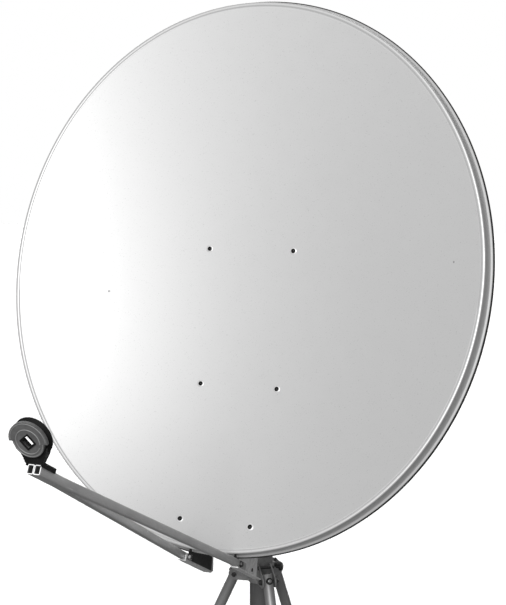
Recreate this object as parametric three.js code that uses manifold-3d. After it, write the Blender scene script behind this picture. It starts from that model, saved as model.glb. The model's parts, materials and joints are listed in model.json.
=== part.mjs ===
// An offset satellite dish on a folding tripod, in millimetres, +Z up.
// The origin is on the ground, under the middle of the whole object's box.
import * as THREE from 'three';
import { mergeVertices } from 'three/addons/utils/BufferGeometryUtils.js';
import Module from 'manifold-3d';

const wasm = await Module();
wasm.setup();

const { PI, sin, cos, tan, hypot, sqrt } = Math;
const GAP = 0.35; // clearance between pieces that touch

// Reflector: an offset paraboloid whose rim is an ellipse in one plane.
const RIM_HEIGHT = 1200;
const RIM_WIDTH = 1087;
const FOCAL_LENGTH = 651;
const RIM_LEAN = THREE.MathUtils.degToRad(12.85); // the rim plane leans back from vertical
const RIM_CENTRE = new THREE.Vector3(0, 128.2, 1480);
const SKIN = 1.2;

// Mast and tripod.
const MAST_Y = RIM_CENTRE.y + 166;
const MAST_RADIUS = 25;
const MAST_BORE = 23;
const MAST_BOTTOM = 340;
const MAST_TOP = RIM_CENTRE.z - 140;
const SLEEVE_BOTTOM = 728;
const SLEEVE_TOP = 792;
const SLEEVE_RADIUS = 29.5;
const SLEEVE_BORE = 25.6;
const EAR_TOP = 776;
const LEG_PIVOT = { radius: 60, height: 744 };
const LEG_SPLAY = THREE.MathUtils.degToRad(24.5);
const LEG_RADIUS = 12.5;
const LEG_AZIMUTHS = { left: 190, front: 309, back: 76 }; // degrees from +X
const EAR_RADIUS = 14;
const EAR_ROOT = 23; // the ears start inside the sleeve's wall
const EAR_INNER = 13.2;
const EAR_SHEET = 3;
const STOP_PIN = { radius: 38.5, height: LEG_PIVOT.height + 27 };
const KNOB_AZIMUTH = THREE.MathUtils.degToRad(3);
const KNOB_HEIGHT = SLEEVE_BOTTOM + 41;
const KNOB_SEAT = SLEEVE_RADIUS + 7; // the outer face of the clamp screw's boss
const FOOT_RADIUS = 17;

// Elevation head: the bracket between the mast and the dish frame.
const PIVOT = { y: RIM_CENTRE.y + 95, z: RIM_CENTRE.z - 215 };
const LOCK_DROP = 85; // the lock bolts sit this far under the pivot
const CHEEK_OUTER = 60.5;
const BRACKET_SHEET = 3;
const BRACKET_BACK = MAST_Y - 37; // rear face of the bracket's back plate
const CLAMP_HEIGHTS = { upper: PIVOT.z + 32, lower: PIVOT.z - 92 };
const U_BOLT = { radius: 4, bend: 29.5, front: MAST_Y - 56 };

// Dish frame: two ribs whose webs close in towards the bottom.
const WEB_SHEET = 2.5;
const WEB_REAR = 150; // rear edge, measured back from the rim plane
const RIB_TOP = 100;
const RIB_FOOT = -575;
const RIB_STEPS = 11;
const FACE_BOLT_ROWS = [62, -247, -544]; // heights along the rim plane
const FACET_RELIEF = 1; // room for the flat facets of the curved reflector

// Feed arms and feed holder.
const ARM_TIP = new THREE.Vector3(0, RIM_CENTRE.y - 802, RIM_CENTRE.z - 248.4);
const ARM_SLOPE = THREE.MathUtils.degToRad(28.08);
const ARM = { width: 12, height: 16, wall: 1.5, splay: 85, root: 756, length: 806 };
const ARM_TIP_X = 6.3;
const ARM_ROOT_X = 61.8;
const ARM_BOLT = 772;
const EAR_HOLE = { along: 882, up: 5.1, radius: 3.5 }; // a spare hole behind the arm's end
const SHELF = { from: 757, to: 905, top: -ARM.height / 2 - GAP, sheet: 2.5, inner: 53, outer: 69.5 };
const TIP_SCREW = 26;
const FEED_CENTRE = new THREE.Vector3(0, RIM_CENTRE.y - 817.4, RIM_CENTRE.z - 201.1);
const FEED_TILT = THREE.MathUtils.degToRad(18);
const FEED = { radius: 28, lug: 34.5, plate: 5, collar: 10.4, window: 16.2, twist: 37.5 };
const CUP = { back: 34.8, depth: 17, bore: 22 };

// ---------------------------------------------------------------- solids

function solidOf(geometry) {
  const bare = geometry.clone();
  bare.deleteAttribute('normal');
  bare.deleteAttribute('uv');
  const merged = mergeVertices(bare, 1e-3);
  const corners = [];
  for (let i = 0; i < merged.index.count; i += 3) {
    const [a, b, c] = [0, 1, 2].map((k) => merged.index.getX(i + k));
    if (a !== b && b !== c && c !== a) corners.push(a, b, c);
  }
  const vertProperties = new Float32Array(merged.attributes.position.array);
  const triVerts = new Uint32Array(corners);
  return new wasm.Manifold(new wasm.Mesh({ numProp: 3, vertProperties, triVerts }));
}

function geometryOf(solid) {
  const mesh = solid.getMesh();
  const geometry = new THREE.BufferGeometry();
  geometry.setAttribute('position', new THREE.BufferAttribute(mesh.vertProperties, 3));
  geometry.setIndex(new THREE.BufferAttribute(mesh.triVerts, 1));
  return geometry;
}

const join = (...shapes) => geometryOf(shapes.map(solidOf).reduce((all, next) => all.add(next)));

const cut = (shape, ...tools) =>
  geometryOf(tools.map(solidOf).reduce((rest, tool) => rest.subtract(tool), solidOf(shape)));

function at(geometry, x, y, z, turn = {}) {
  const angles = new THREE.Euler(turn.x ?? 0, turn.y ?? 0, turn.z ?? 0);
  geometry.applyMatrix4(new THREE.Matrix4().makeRotationFromEuler(angles));
  return geometry.translate(x, y, z);
}

// A rod along X, Y or Z from one end to the other.
function rod(axis, radius, from, to, sides = 16) {
  const geometry = new THREE.CylinderGeometry(radius, radius, to - from, sides);
  if (axis === 'x') geometry.rotateZ(-PI / 2);
  if (axis === 'z') geometry.rotateX(PI / 2);
  const middle = (from + to) / 2;
  return geometry.translate(...['x', 'y', 'z'].map((name) => (name === axis ? middle : 0)));
}

// A bored tube along Z, as a closed turned ring.
function pipe(outer, bore, from, to, sides = 28) {
  const ring = [[bore, from], [outer, from], [outer, to], [bore, to], [bore, from]];
  const points = ring.map(([radius, height]) => new THREE.Vector2(radius, height));
  return new THREE.LatheGeometry(points, sides).rotateX(PI / 2);
}

// A flat plate cut to an outline in the YZ plane, from x = 0 to x = thickness.
function platYZ(shape, thickness) {
  const options = { depth: thickness, bevelEnabled: false, curveSegments: 10 };
  const toYZ = new THREE.Matrix4().set(0, 0, 1, 0, 1, 0, 0, 0, 0, 1, 0, 0, 0, 0, 0, 1);
  return new THREE.ExtrudeGeometry(shape, options).applyMatrix4(toYZ);
}

function outline(points) {
  return new THREE.Shape(points.map(([a, b]) => new THREE.Vector2(a, b)));
}

// A hexagon bolt along its local +X: the head ends at x = 0 and the shank runs to -length.
function hexBolt(radius, length, head = {}) {
  const across = head.radius ?? radius * 1.9;
  const height = head.height ?? radius * 1.3;
  return join(rod('x', across, 0, height, 6), rod('x', radius, -length, height / 2, 12));
}

function hexNut(bore, radius, height) {
  const blank = rod('x', radius, 0, height, 6);
  return cut(blank, rod('x', bore, -1, height + 1, 12));
}

// ---------------------------------------------------------------- materials and nodes

const surface = (color, roughness, metalness) =>
  new THREE.MeshStandardMaterial({ color, roughness, metalness });
const metal = (color, roughness = 0.45) => surface(color, roughness, 0.85);
const plain = (color, roughness) => surface(color, roughness, 0);

const WHITE_PAINT = plain(0xdfe0e0, 0.4);
const GALVANISED = metal(0x9da0a2);
const ZINC = metal(0xb9bcc0, 0.35);
const MAST_STEEL = metal(0x7d7f82);
const BLACK_PLASTIC = plain(0x1d1d1f, 0.5);
const RUBBER = plain(0x17181a, 0.85);

const satelliteDish = new THREE.Group();

function add(parent, name, geometry, material) {
  const mesh = new THREE.Mesh(geometry, material);
  mesh.name = name;
  parent.add(mesh);
  return mesh;
}

function group(parent, x, y, z, turn = {}) {
  const made = new THREE.Group();
  made.position.set(x, y, z);
  made.rotation.set(turn.x ?? 0, turn.y ?? 0, turn.z ?? 0);
  parent.add(made);
  return made;
}

// ---------------------------------------------------------------- reflector surface

const HALF_WIDTH = RIM_WIDTH / 2;
const HALF_HEIGHT = RIM_HEIGHT / 2;
const OFFSET_ANGLE = Math.acos(RIM_WIDTH / RIM_HEIGHT);
const AXIS_OFFSET = 2 * FOCAL_LENGTH * tan(OFFSET_ANGLE);
const RIM_RISE = (HALF_WIDTH ** 2 + AXIS_OFFSET ** 2) / (4 * FOCAL_LENGTH);

// The dish's own frame has its origin at the rim's centre, y back from the rim plane and z up it.
// across and up are the aperture coordinates seen along the dish's beam.
function bowlPoint(across, up) {
  const rise = (across ** 2 + (up + AXIS_OFFSET) ** 2) / (4 * FOCAL_LENGTH) - RIM_RISE;
  const height = up * cos(OFFSET_ANGLE) + rise * sin(OFFSET_ANGLE);
  const depth = up * sin(OFFSET_ANGLE) - rise * cos(OFFSET_ANGLE);
  return new THREE.Vector3(across, depth, height);
}

// Depth of the front face behind the rim plane, at x and a height along the rim plane.
function bowlDepth(x, height) {
  const a = sin(OFFSET_ANGLE) / (4 * FOCAL_LENGTH);
  const b = cos(OFFSET_ANGLE) + 2 * a * AXIS_OFFSET;
  const c = a * (x ** 2 - HALF_WIDTH ** 2) - height;
  const up = (-b + sqrt(b * b - 4 * a * c)) / (2 * a);
  return bowlPoint(x, up).y;
}

// Turned profile: radius 0 to 1 is the bowl, and each 0.01 past 1 is a millimetre outside the rim.
const BOWL_STEPS = [0, 0.19, 0.37, 0.53, 0.67, 0.79, 0.89, 0.965];
const RIM_FRONT = [[0, 0], [2.4, -1.2], [5.2, 0], [8, 28], [10.5, 32.4], [16, 33.2]];
const RIM_BACK = [[17.5, 36.6], [14, 37.6], [8.4, 34.2], [6, 28], [3.4, SKIN + 0.6]];

function reflectorProfile() {
  const front = BOWL_STEPS.map((radius) => [radius, 0]);
  const rim = [...RIM_FRONT, ...RIM_BACK].map(([out, back]) => [1 + out / 100, back]);
  const back = BOWL_STEPS.map((radius) => [radius, SKIN]).reverse();
  return [...front, ...rim, ...back].map(([r, y]) => new THREE.Vector2(r, y));
}

function bendToBowl(point) {
  const angle = Math.atan2(point.x, point.z);
  const radius = hypot(point.x, point.z);
  const inside = Math.min(radius, 1) * HALF_WIDTH;
  const outside = (Math.max(radius, 1) - 1) * 100;
  const bowl = bowlPoint(inside * sin(angle), inside * cos(angle));
  const outward = new THREE.Vector2(sin(angle) / HALF_WIDTH, cos(angle) / HALF_HEIGHT).normalize();
  return new THREE.Vector3(bowl.x + outward.x * outside, bowl.y + point.y, bowl.z + outward.y * outside);
}

function bent(geometry, place) {
  const points = geometry.attributes.position;
  const point = new THREE.Vector3();
  for (let i = 0; i < points.count; i += 1) {
    point.fromBufferAttribute(points, i);
    points.setXYZ(i, ...place(point).toArray());
  }
  return geometry;
}

const webOuter = (height) => 54.5 + 0.0322 * (height + 640);
const boltLine = (height) => webOuter(height) + 24.5;

function faceNormalTilt(x, height) {
  const step = 2;
  const slopeUp = (bowlDepth(x, height + step) - bowlDepth(x, height - step)) / (2 * step);
  const slopeOut = (bowlDepth(x + step, height) - bowlDepth(x - step, height)) / (2 * step);
  return new THREE.Vector3(-slopeOut, 1, -slopeUp).normalize();
}

// Puts a shape made along +X at a face bolt, with its +X facing out of the bowl.
function atFaceBolt(geometry, side, height) {
  const x = side * boltLine(height);
  const inward = faceNormalTilt(x, height).negate();
  const turn = new THREE.Quaternion().setFromUnitVectors(new THREE.Vector3(1, 0, 0), inward);
  return geometry.applyQuaternion(turn).translate(x, bowlDepth(x, height), height);
}

// ---------------------------------------------------------------- dish group

const dish = group(satelliteDish, ...RIM_CENTRE.toArray(), { x: -RIM_LEAN });
const SIDES = { left: -1, right: 1 };

function addReflector() {
  const blank = bent(new THREE.LatheGeometry(reflectorProfile(), 60), bendToBowl);
  const holes = [];
  for (const side of [-1, 1]) {
    for (const height of FACE_BOLT_ROWS) holes.push(atFaceBolt(rod('x', 3.6, -20, 20, 8), side, height));
  }
  add(dish, 'reflector', cut(blank, ...holes), WHITE_PAINT);
}

function addFaceBolts() {
  const rows = ['top', 'middle', 'bottom'];
  for (const [name, side] of Object.entries(SIDES)) {
    FACE_BOLT_ROWS.forEach((height, row) => {
      const head = rod('x', 5.2, FACET_RELIEF, 4.2, 6);
      const shank = rod('x', 3, -16, 2, 10);
      const bolt = atFaceBolt(join(head, shank), side, height);
      add(dish, `face_bolt_${rows[row]}_${name}`, bolt, ZINC);
    });
  }
}

const toDish = (y, z) => {
  const [back, up] = [y - RIM_CENTRE.y, z - RIM_CENTRE.z];
  return {
    y: back * cos(RIM_LEAN) - up * sin(RIM_LEAN),
    z: back * sin(RIM_LEAN) + up * cos(RIM_LEAN),
  };
};
const pivotInDish = toDish(PIVOT.y, PIVOT.z);
// A point in the dish's frame from its place along an arm and above the arm's middle.
const onArm = (along, up) => toDish(
  ARM_TIP.y + along * cos(ARM_SLOPE) + up * sin(ARM_SLOPE),
  ARM_TIP.z - along * sin(ARM_SLOPE) + up * cos(ARM_SLOPE),
);

// The web's front edge follows the back of the reflector. Its lower end is the arm's ear, which runs
// forward under the rim along the arm.
function webOutline() {
  const points = [];
  for (let step = 0; step <= RIB_STEPS; step += 1) {
    const height = RIB_TOP + ((RIB_FOOT - RIB_TOP) * step) / RIB_STEPS;
    points.push([bowlDepth(webOuter(height), height) + SKIN + FACET_RELIEF + 1.2, height]);
  }
  points.push([24, -594], [43, -599], [43, -617]);
  const low = SHELF.top - SHELF.sheet;
  for (const corner of [[790, 6], [761, 6], [757, 2], [757, low], [905, low], [917, -4]]) {
    const { y, z } = onArm(...corner);
    points.push([y, z]);
  }
  points.push([153, -622], [WEB_REAR, -600], [WEB_REAR, -345], [207, -292], [212, -262], [196, -232]);
  points.push([170, -205], [168, -170], [WEB_REAR, -130], [140, RIB_TOP]);
  return outline(points);
}

function lockSlot() {
  const turns = [-13.5, -4, 6, 16, 26.5].map((turn) => THREE.MathUtils.degToRad(turn) + RIM_LEAN);
  const holes = turns.map((turn) => [LOCK_DROP * sin(turn), -LOCK_DROP * cos(turn)]);
  const reach = 5.4;
  const edge = (radius) => turns.map((turn) => [radius * sin(turn), -radius * cos(turn)]);
  const slot = outline([...edge(LOCK_DROP + reach), ...edge(LOCK_DROP - reach).reverse()]);
  const ends = [holes[0], holes.at(-1)].map(([y, z]) => rod('x', reach, -8, 8).translate(0, y, z));
  return join(platYZ(slot, 16).translate(-8, 0, 0), ...ends);
}

function ribSolid() {
  const web = platYZ(webOutline(), WEB_SHEET);
  const flange = new THREE.BoxGeometry(1, 1, 1, 1, 1, RIB_STEPS);
  const drape = (p) => {
    const height = RIB_TOP + (RIB_FOOT - RIB_TOP) * (0.5 - p.z);
    const x = webOuter(height) - 1.2 + (p.x + 0.5) * 41;
    const face = bowlDepth(x, height) + SKIN + FACET_RELIEF;
    return new THREE.Vector3(x, face + (p.y + 0.5) * WEB_SHEET, height);
  };
  const lean = (p) => new THREE.Vector3(webOuter(p.z) - WEB_SHEET + p.x, p.y, p.z);
  const boltHoles = FACE_BOLT_ROWS.map((height) => atFaceBolt(rod('x', 3.6, -30, 20, 8), 1, height));
  const through = (hole, radius) => rod('x', radius, 30, 90, 12).translate(0, hole.y, hole.z);
  const sideHoles = [
    through(onArm(ARM_BOLT, 0), 4.4),
    through(onArm(EAR_HOLE.along, EAR_HOLE.up), EAR_HOLE.radius),
  ];
  const shelf = new THREE.BoxGeometry(SHELF.outer - SHELF.inner, SHELF.to - SHELF.from, SHELF.sheet);
  const middle = onArm((SHELF.from + SHELF.to) / 2, SHELF.top - SHELF.sheet / 2);
  at(shelf, (SHELF.outer + SHELF.inner) / 2, middle.y, middle.z, { x: RIM_LEAN - ARM_SLOPE });
  const pivotHole = rod('x', 6.5, 30, 90, 20).translate(0, pivotInDish.y, pivotInDish.z);
  const slot = lockSlot().translate(66, pivotInDish.y, pivotInDish.z);
  return cut(join(bent(web, lean), bent(flange, drape), shelf), ...boltHoles, ...sideHoles, pivotHole, slot);
}

function addRibs() {
  const rib = ribSolid();
  add(dish, 'rib_right', rib, GALVANISED);
  add(dish, 'rib_left', rib, GALVANISED).scale.x = -1;
}

// A folded plate between the webs, with a tab bent forward along each.
function addTiePlate() {
  const [low, high] = [-560, -372];
  const wide = (height, inset) => webOuter(height) - WEB_SHEET - 0.5 - inset;
  const trapezium = (inset, over) => outline([
    [-wide(low, inset), low - over], [wide(low, inset), low - over],
    [wide(high, inset), high + over], [-wide(high, inset), high + over],
  ]);
  const stand = (shape, from, to) =>
    at(new THREE.ExtrudeGeometry(shape, { depth: to - from, bevelEnabled: false }), 0, to, 0, { x: PI / 2 });
  const block = stand(trapezium(0, 0), WEB_REAR - 26, WEB_REAR);
  const hollow = stand(trapezium(WEB_SHEET, 1), WEB_REAR - 30, WEB_REAR - WEB_SHEET);
  const window = at(new THREE.CylinderGeometry(24, 24, 20, 24), 0, WEB_REAR, (low + high) / 2);
  add(dish, 'tie_plate', cut(block, hollow, window), GALVANISED);
}

// ---------------------------------------------------------------- elevation head

function addBracket() {
  const [low, high] = [PIVOT.z - 118, PIVOT.z + 56];
  const front = PIVOT.y - 20;
  const back = BRACKET_BACK;
  const side = outline([
    [back, low], [back, high], [back - 22, high], [PIVOT.y - 12, PIVOT.z + 19], [front, PIVOT.z + 4],
    [front, PIVOT.z - LOCK_DROP - 8], [PIVOT.y - 8, low],
  ]);
  const block = platYZ(side, 2 * CHEEK_OUTER).translate(-CHEEK_OUTER, 0, 0);
  const inside = new THREE.BoxGeometry(2 * (CHEEK_OUTER - BRACKET_SHEET), 200, 400);
  inside.translate(0, back - BRACKET_SHEET - 100, PIVOT.z);
  const holes = [
    rod('x', 6.5, -90, 90, 20).translate(0, PIVOT.y, PIVOT.z),
    rod('x', 5.4, -90, 90).translate(0, PIVOT.y, PIVOT.z - LOCK_DROP),
  ];
  for (const z of Object.values(CLAMP_HEIGHTS)) {
    for (const x of [-U_BOLT.bend, U_BOLT.bend]) {
      holes.push(rod('y', U_BOLT.radius + 0.5, back - 10, back + 5).translate(x, 0, z));
    }
  }
  add(satelliteDish, 'head_bracket', cut(block, inside, ...holes), GALVANISED);
}

class UBoltPath extends THREE.Curve {
  getPoint(t, target = new THREE.Vector3()) {
    const straight = MAST_Y - U_BOLT.front;
    const bend = PI * U_BOLT.bend;
    const along = t * (2 * straight + bend);
    if (along < straight) return target.set(-U_BOLT.bend, U_BOLT.front + along, 0);
    if (along > straight + bend) return target.set(U_BOLT.bend, MAST_Y - (along - straight - bend), 0);
    const turn = (along - straight) / U_BOLT.bend;
    return target.set(-U_BOLT.bend * cos(turn), MAST_Y + U_BOLT.bend * sin(turn), 0);
  }
}

function addClamp(name, z) {
  const section = new THREE.Shape().absarc(0, 0, U_BOLT.radius, 0, 2 * PI);
  const bar = new THREE.ExtrudeGeometry(section, {
    extrudePath: new UBoltPath(), steps: 22, curveSegments: 4, bevelEnabled: false,
  });
  add(satelliteDish, `u_bolt_${name}`, bar.translate(0, 0, z), ZINC);
  const [near, far] = [BRACKET_BACK + GAP, MAST_Y - 13];
  const block = outline([[-24, near], [24, near], [24, far], [-24, far]]);
  const saddle = new THREE.ExtrudeGeometry(block, { depth: 16, bevelEnabled: false }).translate(0, 0, z - 8);
  const notch = rod('z', MAST_RADIUS + 0.6, z - 20, z + 20, 32).translate(0, MAST_Y, 0);
  add(satelliteDish, `saddle_${name}`, cut(saddle, notch), GALVANISED);
  for (const [side, sign] of Object.entries(SIDES)) {
    const nut = at(hexNut(U_BOLT.radius + GAP, 7.5, 6.5), 0, 0, 0, { z: -PI / 2 });
    nut.translate(sign * U_BOLT.bend, BRACKET_BACK - BRACKET_SHEET - GAP, z);
    add(satelliteDish, `u_bolt_nut_${name}_${side}`, nut, ZINC);
  }
}

function addPivotAndLocks() {
  const outer = webOuter(pivotInDish.z) + 1.2;
  const bolt = hexBolt(6, 2 * outer + 14, { radius: 10.8, height: 7.5 }).translate(outer, PIVOT.y, PIVOT.z);
  add(satelliteDish, 'pivot_bolt', bolt, ZINC);
  const nut = hexNut(6 + GAP, 10.8, 9).translate(-outer - 9, PIVOT.y, PIVOT.z);
  add(satelliteDish, 'pivot_nut', nut, ZINC);
  const lock = () => hexBolt(4.8, 21, { radius: 9.2, height: 6.4 }).translate(webOuter(-245) + 1.6, 0, 0);
  for (const [side, sign] of Object.entries(SIDES)) {
    const mesh = add(satelliteDish, `lock_bolt_${side}`, lock(), ZINC);
    mesh.scale.x = sign;
    mesh.position.set(0, PIVOT.y, PIVOT.z - LOCK_DROP);
  }
}

// ---------------------------------------------------------------- feed arms

const ARM_TOP = ARM.height / 2 + GAP;
const FOOT_TOP = ARM_TOP + 5; // upper face of the feed holder's foot

const arms = group(satelliteDish, ...ARM_TIP.toArray(), { x: -ARM_SLOPE });

// Outline of the arm seen from above: x across, y along it. The two arms run side by side
// at the tip, spread apart, and end flat against the ears.
function armOutline(inset, from, to) {
  const centres = [[ARM_TIP_X, from], [ARM_TIP_X, ARM.splay], [ARM_ROOT_X, ARM.root], [ARM_ROOT_X, to]];
  const half = ARM.width / 2 - inset;
  const edge = (side) => centres.map(([x, y]) => [x + side * half, y]);
  return outline([...edge(-1), ...edge(1).reverse()]);
}

function armSolid() {
  const flat = (shape, height) =>
    new THREE.ExtrudeGeometry(shape, { depth: height, bevelEnabled: false }).translate(0, 0, -height / 2);
  const tube = flat(armOutline(0, 0, ARM.length), ARM.height);
  const bore = flat(armOutline(ARM.wall, -10, ARM_BOLT - 10), ARM.height - 2 * ARM.wall);
  const bolt = rod('x', 4.4, 40, 80, 10).translate(0, ARM_BOLT, 0);
  const screw = rod('z', 2.4, 0, 20, 8).translate(ARM_TIP_X, TIP_SCREW, 0);
  return cut(tube, bore, bolt, screw);
}

function addArms() {
  const arm = armSolid();
  add(arms, 'arm_right', arm, GALVANISED);
  add(arms, 'arm_left', arm, GALVANISED).scale.x = -1;
  for (const [side, sign] of Object.entries(SIDES)) {
    const bolt = hexBolt(4, 24, { radius: 7, height: 5 });
    bolt.translate(ARM_ROOT_X + ARM.width / 2 + GAP, ARM_BOLT, 0);
    add(arms, `arm_bolt_${side}`, bolt, ZINC).scale.x = sign;
    const screw = hexBolt(2, 11, { radius: 3.6, height: 2.2 }).rotateY(-PI / 2);
    screw.translate(sign * ARM_TIP_X, TIP_SCREW, FOOT_TOP + GAP);
    add(arms, `foot_screw_${side}`, screw, ZINC);
  }
}

// ---------------------------------------------------------------- feed holder

const feed = group(satelliteDish, ...FEED_CENTRE.toArray(), { x: FEED_TILT });

function arcPoints(radius, fromDegrees, toDegrees, steps) {
  return Array.from({ length: steps + 1 }, (_, i) => {
    const turn = THREE.MathUtils.degToRad(fromDegrees + ((toDegrees - fromDegrees) * i) / steps);
    return [radius * cos(turn), radius * sin(turn)];
  });
}

function squareOutline(size) {
  const turn = THREE.MathUtils.degToRad(FEED.twist);
  return [[1, 1], [-1, 1], [-1, -1], [1, -1]].map(([x, z]) => [
    (size / 2) * (x * cos(turn) - z * sin(turn)),
    (size / 2) * (x * sin(turn) + z * cos(turn)),
  ]);
}

// Extrudes an outline in the XZ plane along the feed axis, from one depth to another.
function alongFeed(points, from, to) {
  const geometry = new THREE.ExtrudeGeometry(outline(points), { depth: to - from, bevelEnabled: false });
  return geometry.rotateX(PI / 2).translate(0, to, 0);
}

// A round plate whose upper half stands out to a larger radius.
function addFeedPlate() {
  const disc = [...arcPoints(FEED.lug, -4, 181, 24), ...arcPoints(FEED.radius, 181, 356, 20)];
  const plate = join(
    alongFeed(disc, 0, FEED.plate),
    alongFeed(squareOutline(FEED.window + 5), -1.6, FEED.collar),
  );
  const round = (radius, from, to) => alongFeed(arcPoints(radius, 0, 342, 19), from, to);
  const ring = cut(round(22.5, -1.2, 1), round(20, -2, 0.8));
  const window = alongFeed(squareOutline(FEED.window), -5, 30);
  add(feed, 'feed_plate', cut(join(plate, ring), window), BLACK_PLASTIC);
}

// A block that changes from one rectangle to another between two heights.
function taperBlock(top, bottom) {
  return bent(new THREE.BoxGeometry(1, 1, 1), (p) => {
    const end = p.z > 0 ? top : bottom;
    return new THREE.Vector3(p.x * end.width, end.depth[p.y > 0 ? 1 : 0], end.z);
  });
}

// The fixed cup behind the plate flares backwards. Its neck narrows to a foot that sits on both arms,
// with a lip down the outer side of each.
function addFeedHolder() {
  const front = FEED.plate + GAP;
  const cone = new THREE.CylinderGeometry(CUP.back, FEED.radius, CUP.depth - front, 36);
  const cup = cone.translate(0, (CUP.depth + front) / 2, 0);
  const toFeed = new THREE.Matrix4().makeRotationX(FEED_TILT).setPosition(FEED_CENTRE).invert();
  const toFeedFromArm = toFeed.multiply(new THREE.Matrix4().makeRotationX(-ARM_SLOPE).setPosition(ARM_TIP));
  const arms = 2 * (ARM_TIP_X + ARM.width / 2 + GAP);
  const lip = { thick: 1.9, drop: 3.2 };
  const foot = new THREE.BoxGeometry(arms + 2 * lip.thick, 46, FOOT_TOP - ARM_TOP);
  foot.translate(0, 19, (FOOT_TOP + ARM_TOP) / 2);
  foot.applyMatrix4(toFeedFromArm);
  const lips = [1, -1].map((sign) => {
    const bar = new THREE.BoxGeometry(lip.thick, 46, FOOT_TOP - ARM_TOP + lip.drop);
    bar.translate((sign * (arms + lip.thick)) / 2, 19, (FOOT_TOP + ARM_TOP - lip.drop) / 2);
    return bar.applyMatrix4(toFeedFromArm);
  });
  const low = new THREE.Vector3(0, 8, ARM_TOP + 2).applyMatrix4(toFeedFromArm);
  const waist = { z: -31, width: 40, depth: [front, 25] };
  const root = taperBlock({ z: -12, width: 56, depth: [front, CUP.depth] }, waist);
  const neck = taperBlock(waist, { z: low.z, width: 24, depth: [low.y - 13, low.y] });
  const bore = alongFeed(arcPoints(CUP.bore, 0, 345, 23), 0, 40);
  const under = new THREE.BoxGeometry(60, 200, 40);
  under.translate(0, 60, ARM_TOP - 20);
  under.applyMatrix4(toFeedFromArm);
  const screws = [ARM_TIP_X, -ARM_TIP_X].map((x) =>
    rod('z', 2.4, 0, 40, 8).translate(x, TIP_SCREW, 0).applyMatrix4(toFeedFromArm));
  const body = cut(join(cup, root, neck, foot), bore, under, ...screws);
  add(feed, 'feed_holder', join(body, ...lips), BLACK_PLASTIC);
}

// ---------------------------------------------------------------- mast, hub and legs

function addMast() {
  const tube = pipe(MAST_RADIUS, MAST_BORE, MAST_BOTTOM, MAST_TOP);
  add(satelliteDish, 'mast', tube.translate(0, MAST_Y, 0), MAST_STEEL);
  const cap = (low, plugFrom, plugTo) => join(
    rod('z', MAST_RADIUS, low, low + 4, 28),
    rod('z', MAST_BORE - GAP * 2, low + plugFrom, low + plugTo, 20),
  ).translate(0, MAST_Y, 0);
  add(satelliteDish, 'mast_cap_top', cap(MAST_TOP + GAP, -16, 2), BLACK_PLASTIC);
  add(satelliteDish, 'mast_cap_bottom', cap(MAST_BOTTOM - 4 - GAP, 2, 20), BLACK_PLASTIC);
}

const hub = group(satelliteDish, 0, MAST_Y, 0);

// One cheek of a leg's clevis: a sheet from the sleeve out to a round end at the pivot.
function earOutline() {
  const { radius, height } = LEG_PIVOT;
  const round = arcPoints(EAR_RADIUS, -90, 65, 7).map(([r, z]) => [radius + r, height + z]);
  return outline([[EAR_ROOT, height - EAR_RADIUS], ...round, [EAR_ROOT + 9, EAR_TOP], [EAR_ROOT, EAR_TOP]]);
}

function addHub() {
  const pieces = [rod('z', SLEEVE_RADIUS, SLEEVE_BOTTOM, SLEEVE_TOP, 28)];
  const holes = [rod('z', SLEEVE_BORE, 0, 2000, 28)];
  for (const azimuth of Object.values(LEG_AZIMUTHS)) {
    const turn = THREE.MathUtils.degToRad(azimuth);
    for (const tangent of [EAR_INNER, -EAR_INNER - EAR_SHEET]) {
      const ear = new THREE.ExtrudeGeometry(earOutline(), { depth: EAR_SHEET, bevelEnabled: false });
      ear.rotateX(PI / 2).translate(0, -tangent, 0).rotateZ(turn);
      pieces.push(ear);
    }
    holes.push(rod('y', 4.4, -40, 40, 10).translate(LEG_PIVOT.radius, 0, LEG_PIVOT.height).rotateZ(turn));
    holes.push(rod('y', 3.4, -40, 40, 8).translate(STOP_PIN.radius, 0, STOP_PIN.height).rotateZ(turn));
  }
  const toKnob = (shape) => shape.translate(0, 0, KNOB_HEIGHT).rotateZ(KNOB_AZIMUTH);
  pieces.push(toKnob(rod('x', 9, SLEEVE_RADIUS - 3, KNOB_SEAT, 20)));
  holes.push(toKnob(rod('x', 4.3, 10, 60)));
  add(hub, 'tripod_hub', cut(join(...pieces), ...holes), GALVANISED);
}

// A small ribbed thumb screw on a threaded stud, along its local +X.
function knobSolid(stud) {
  const lobes = Array.from({ length: 40 }, (_, i) => {
    const turn = (2 * PI * i) / 40;
    const radius = 6.6 + 0.5 * cos(10 * turn);
    return [radius * cos(turn), radius * sin(turn)];
  });
  const grip = platYZ(outline(lobes), 11).translate(3, 0, 0);
  return join(grip, rod('x', 4.8, 0, 4, 20), rod('x', 3.9, -stud, 2, 12));
}

function addKnob() {
  const reach = KNOB_SEAT + GAP;
  const [x, y] = [reach * cos(KNOB_AZIMUTH), reach * sin(KNOB_AZIMUTH)];
  const mount = group(hub, x, y, KNOB_HEIGHT, { z: KNOB_AZIMUTH });
  add(mount, 'mast_clamp_knob', knobSolid(reach - MAST_RADIUS - 1), BLACK_PLASTIC);
}

function legTube(length) {
  const top = 17;
  const tube = pipe(LEG_RADIUS, LEG_RADIUS - 1.6, -length, top, 20);
  return cut(tube, rod('y', 4.4, -20, 20, 10));
}

// The foot follows the leg, and its sole is cut level with the ground.
function legFoot(length) {
  const reach = length + 14;
  const cup = rod('z', FOOT_RADIUS, -reach - 26, -length + 34, 20);
  const bore = rod('z', LEG_RADIUS + GAP, -length - GAP, 40 - length, 20);
  const ground = at(new THREE.BoxGeometry(2000, 200, 100), 0, 0, -50);
  const toLeg = new THREE.Matrix4().makeRotationY(-LEG_SPLAY).setPosition(0, 0, LEG_PIVOT.height).invert();
  return cut(cup, bore, ground.applyMatrix4(toLeg));
}

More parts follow.
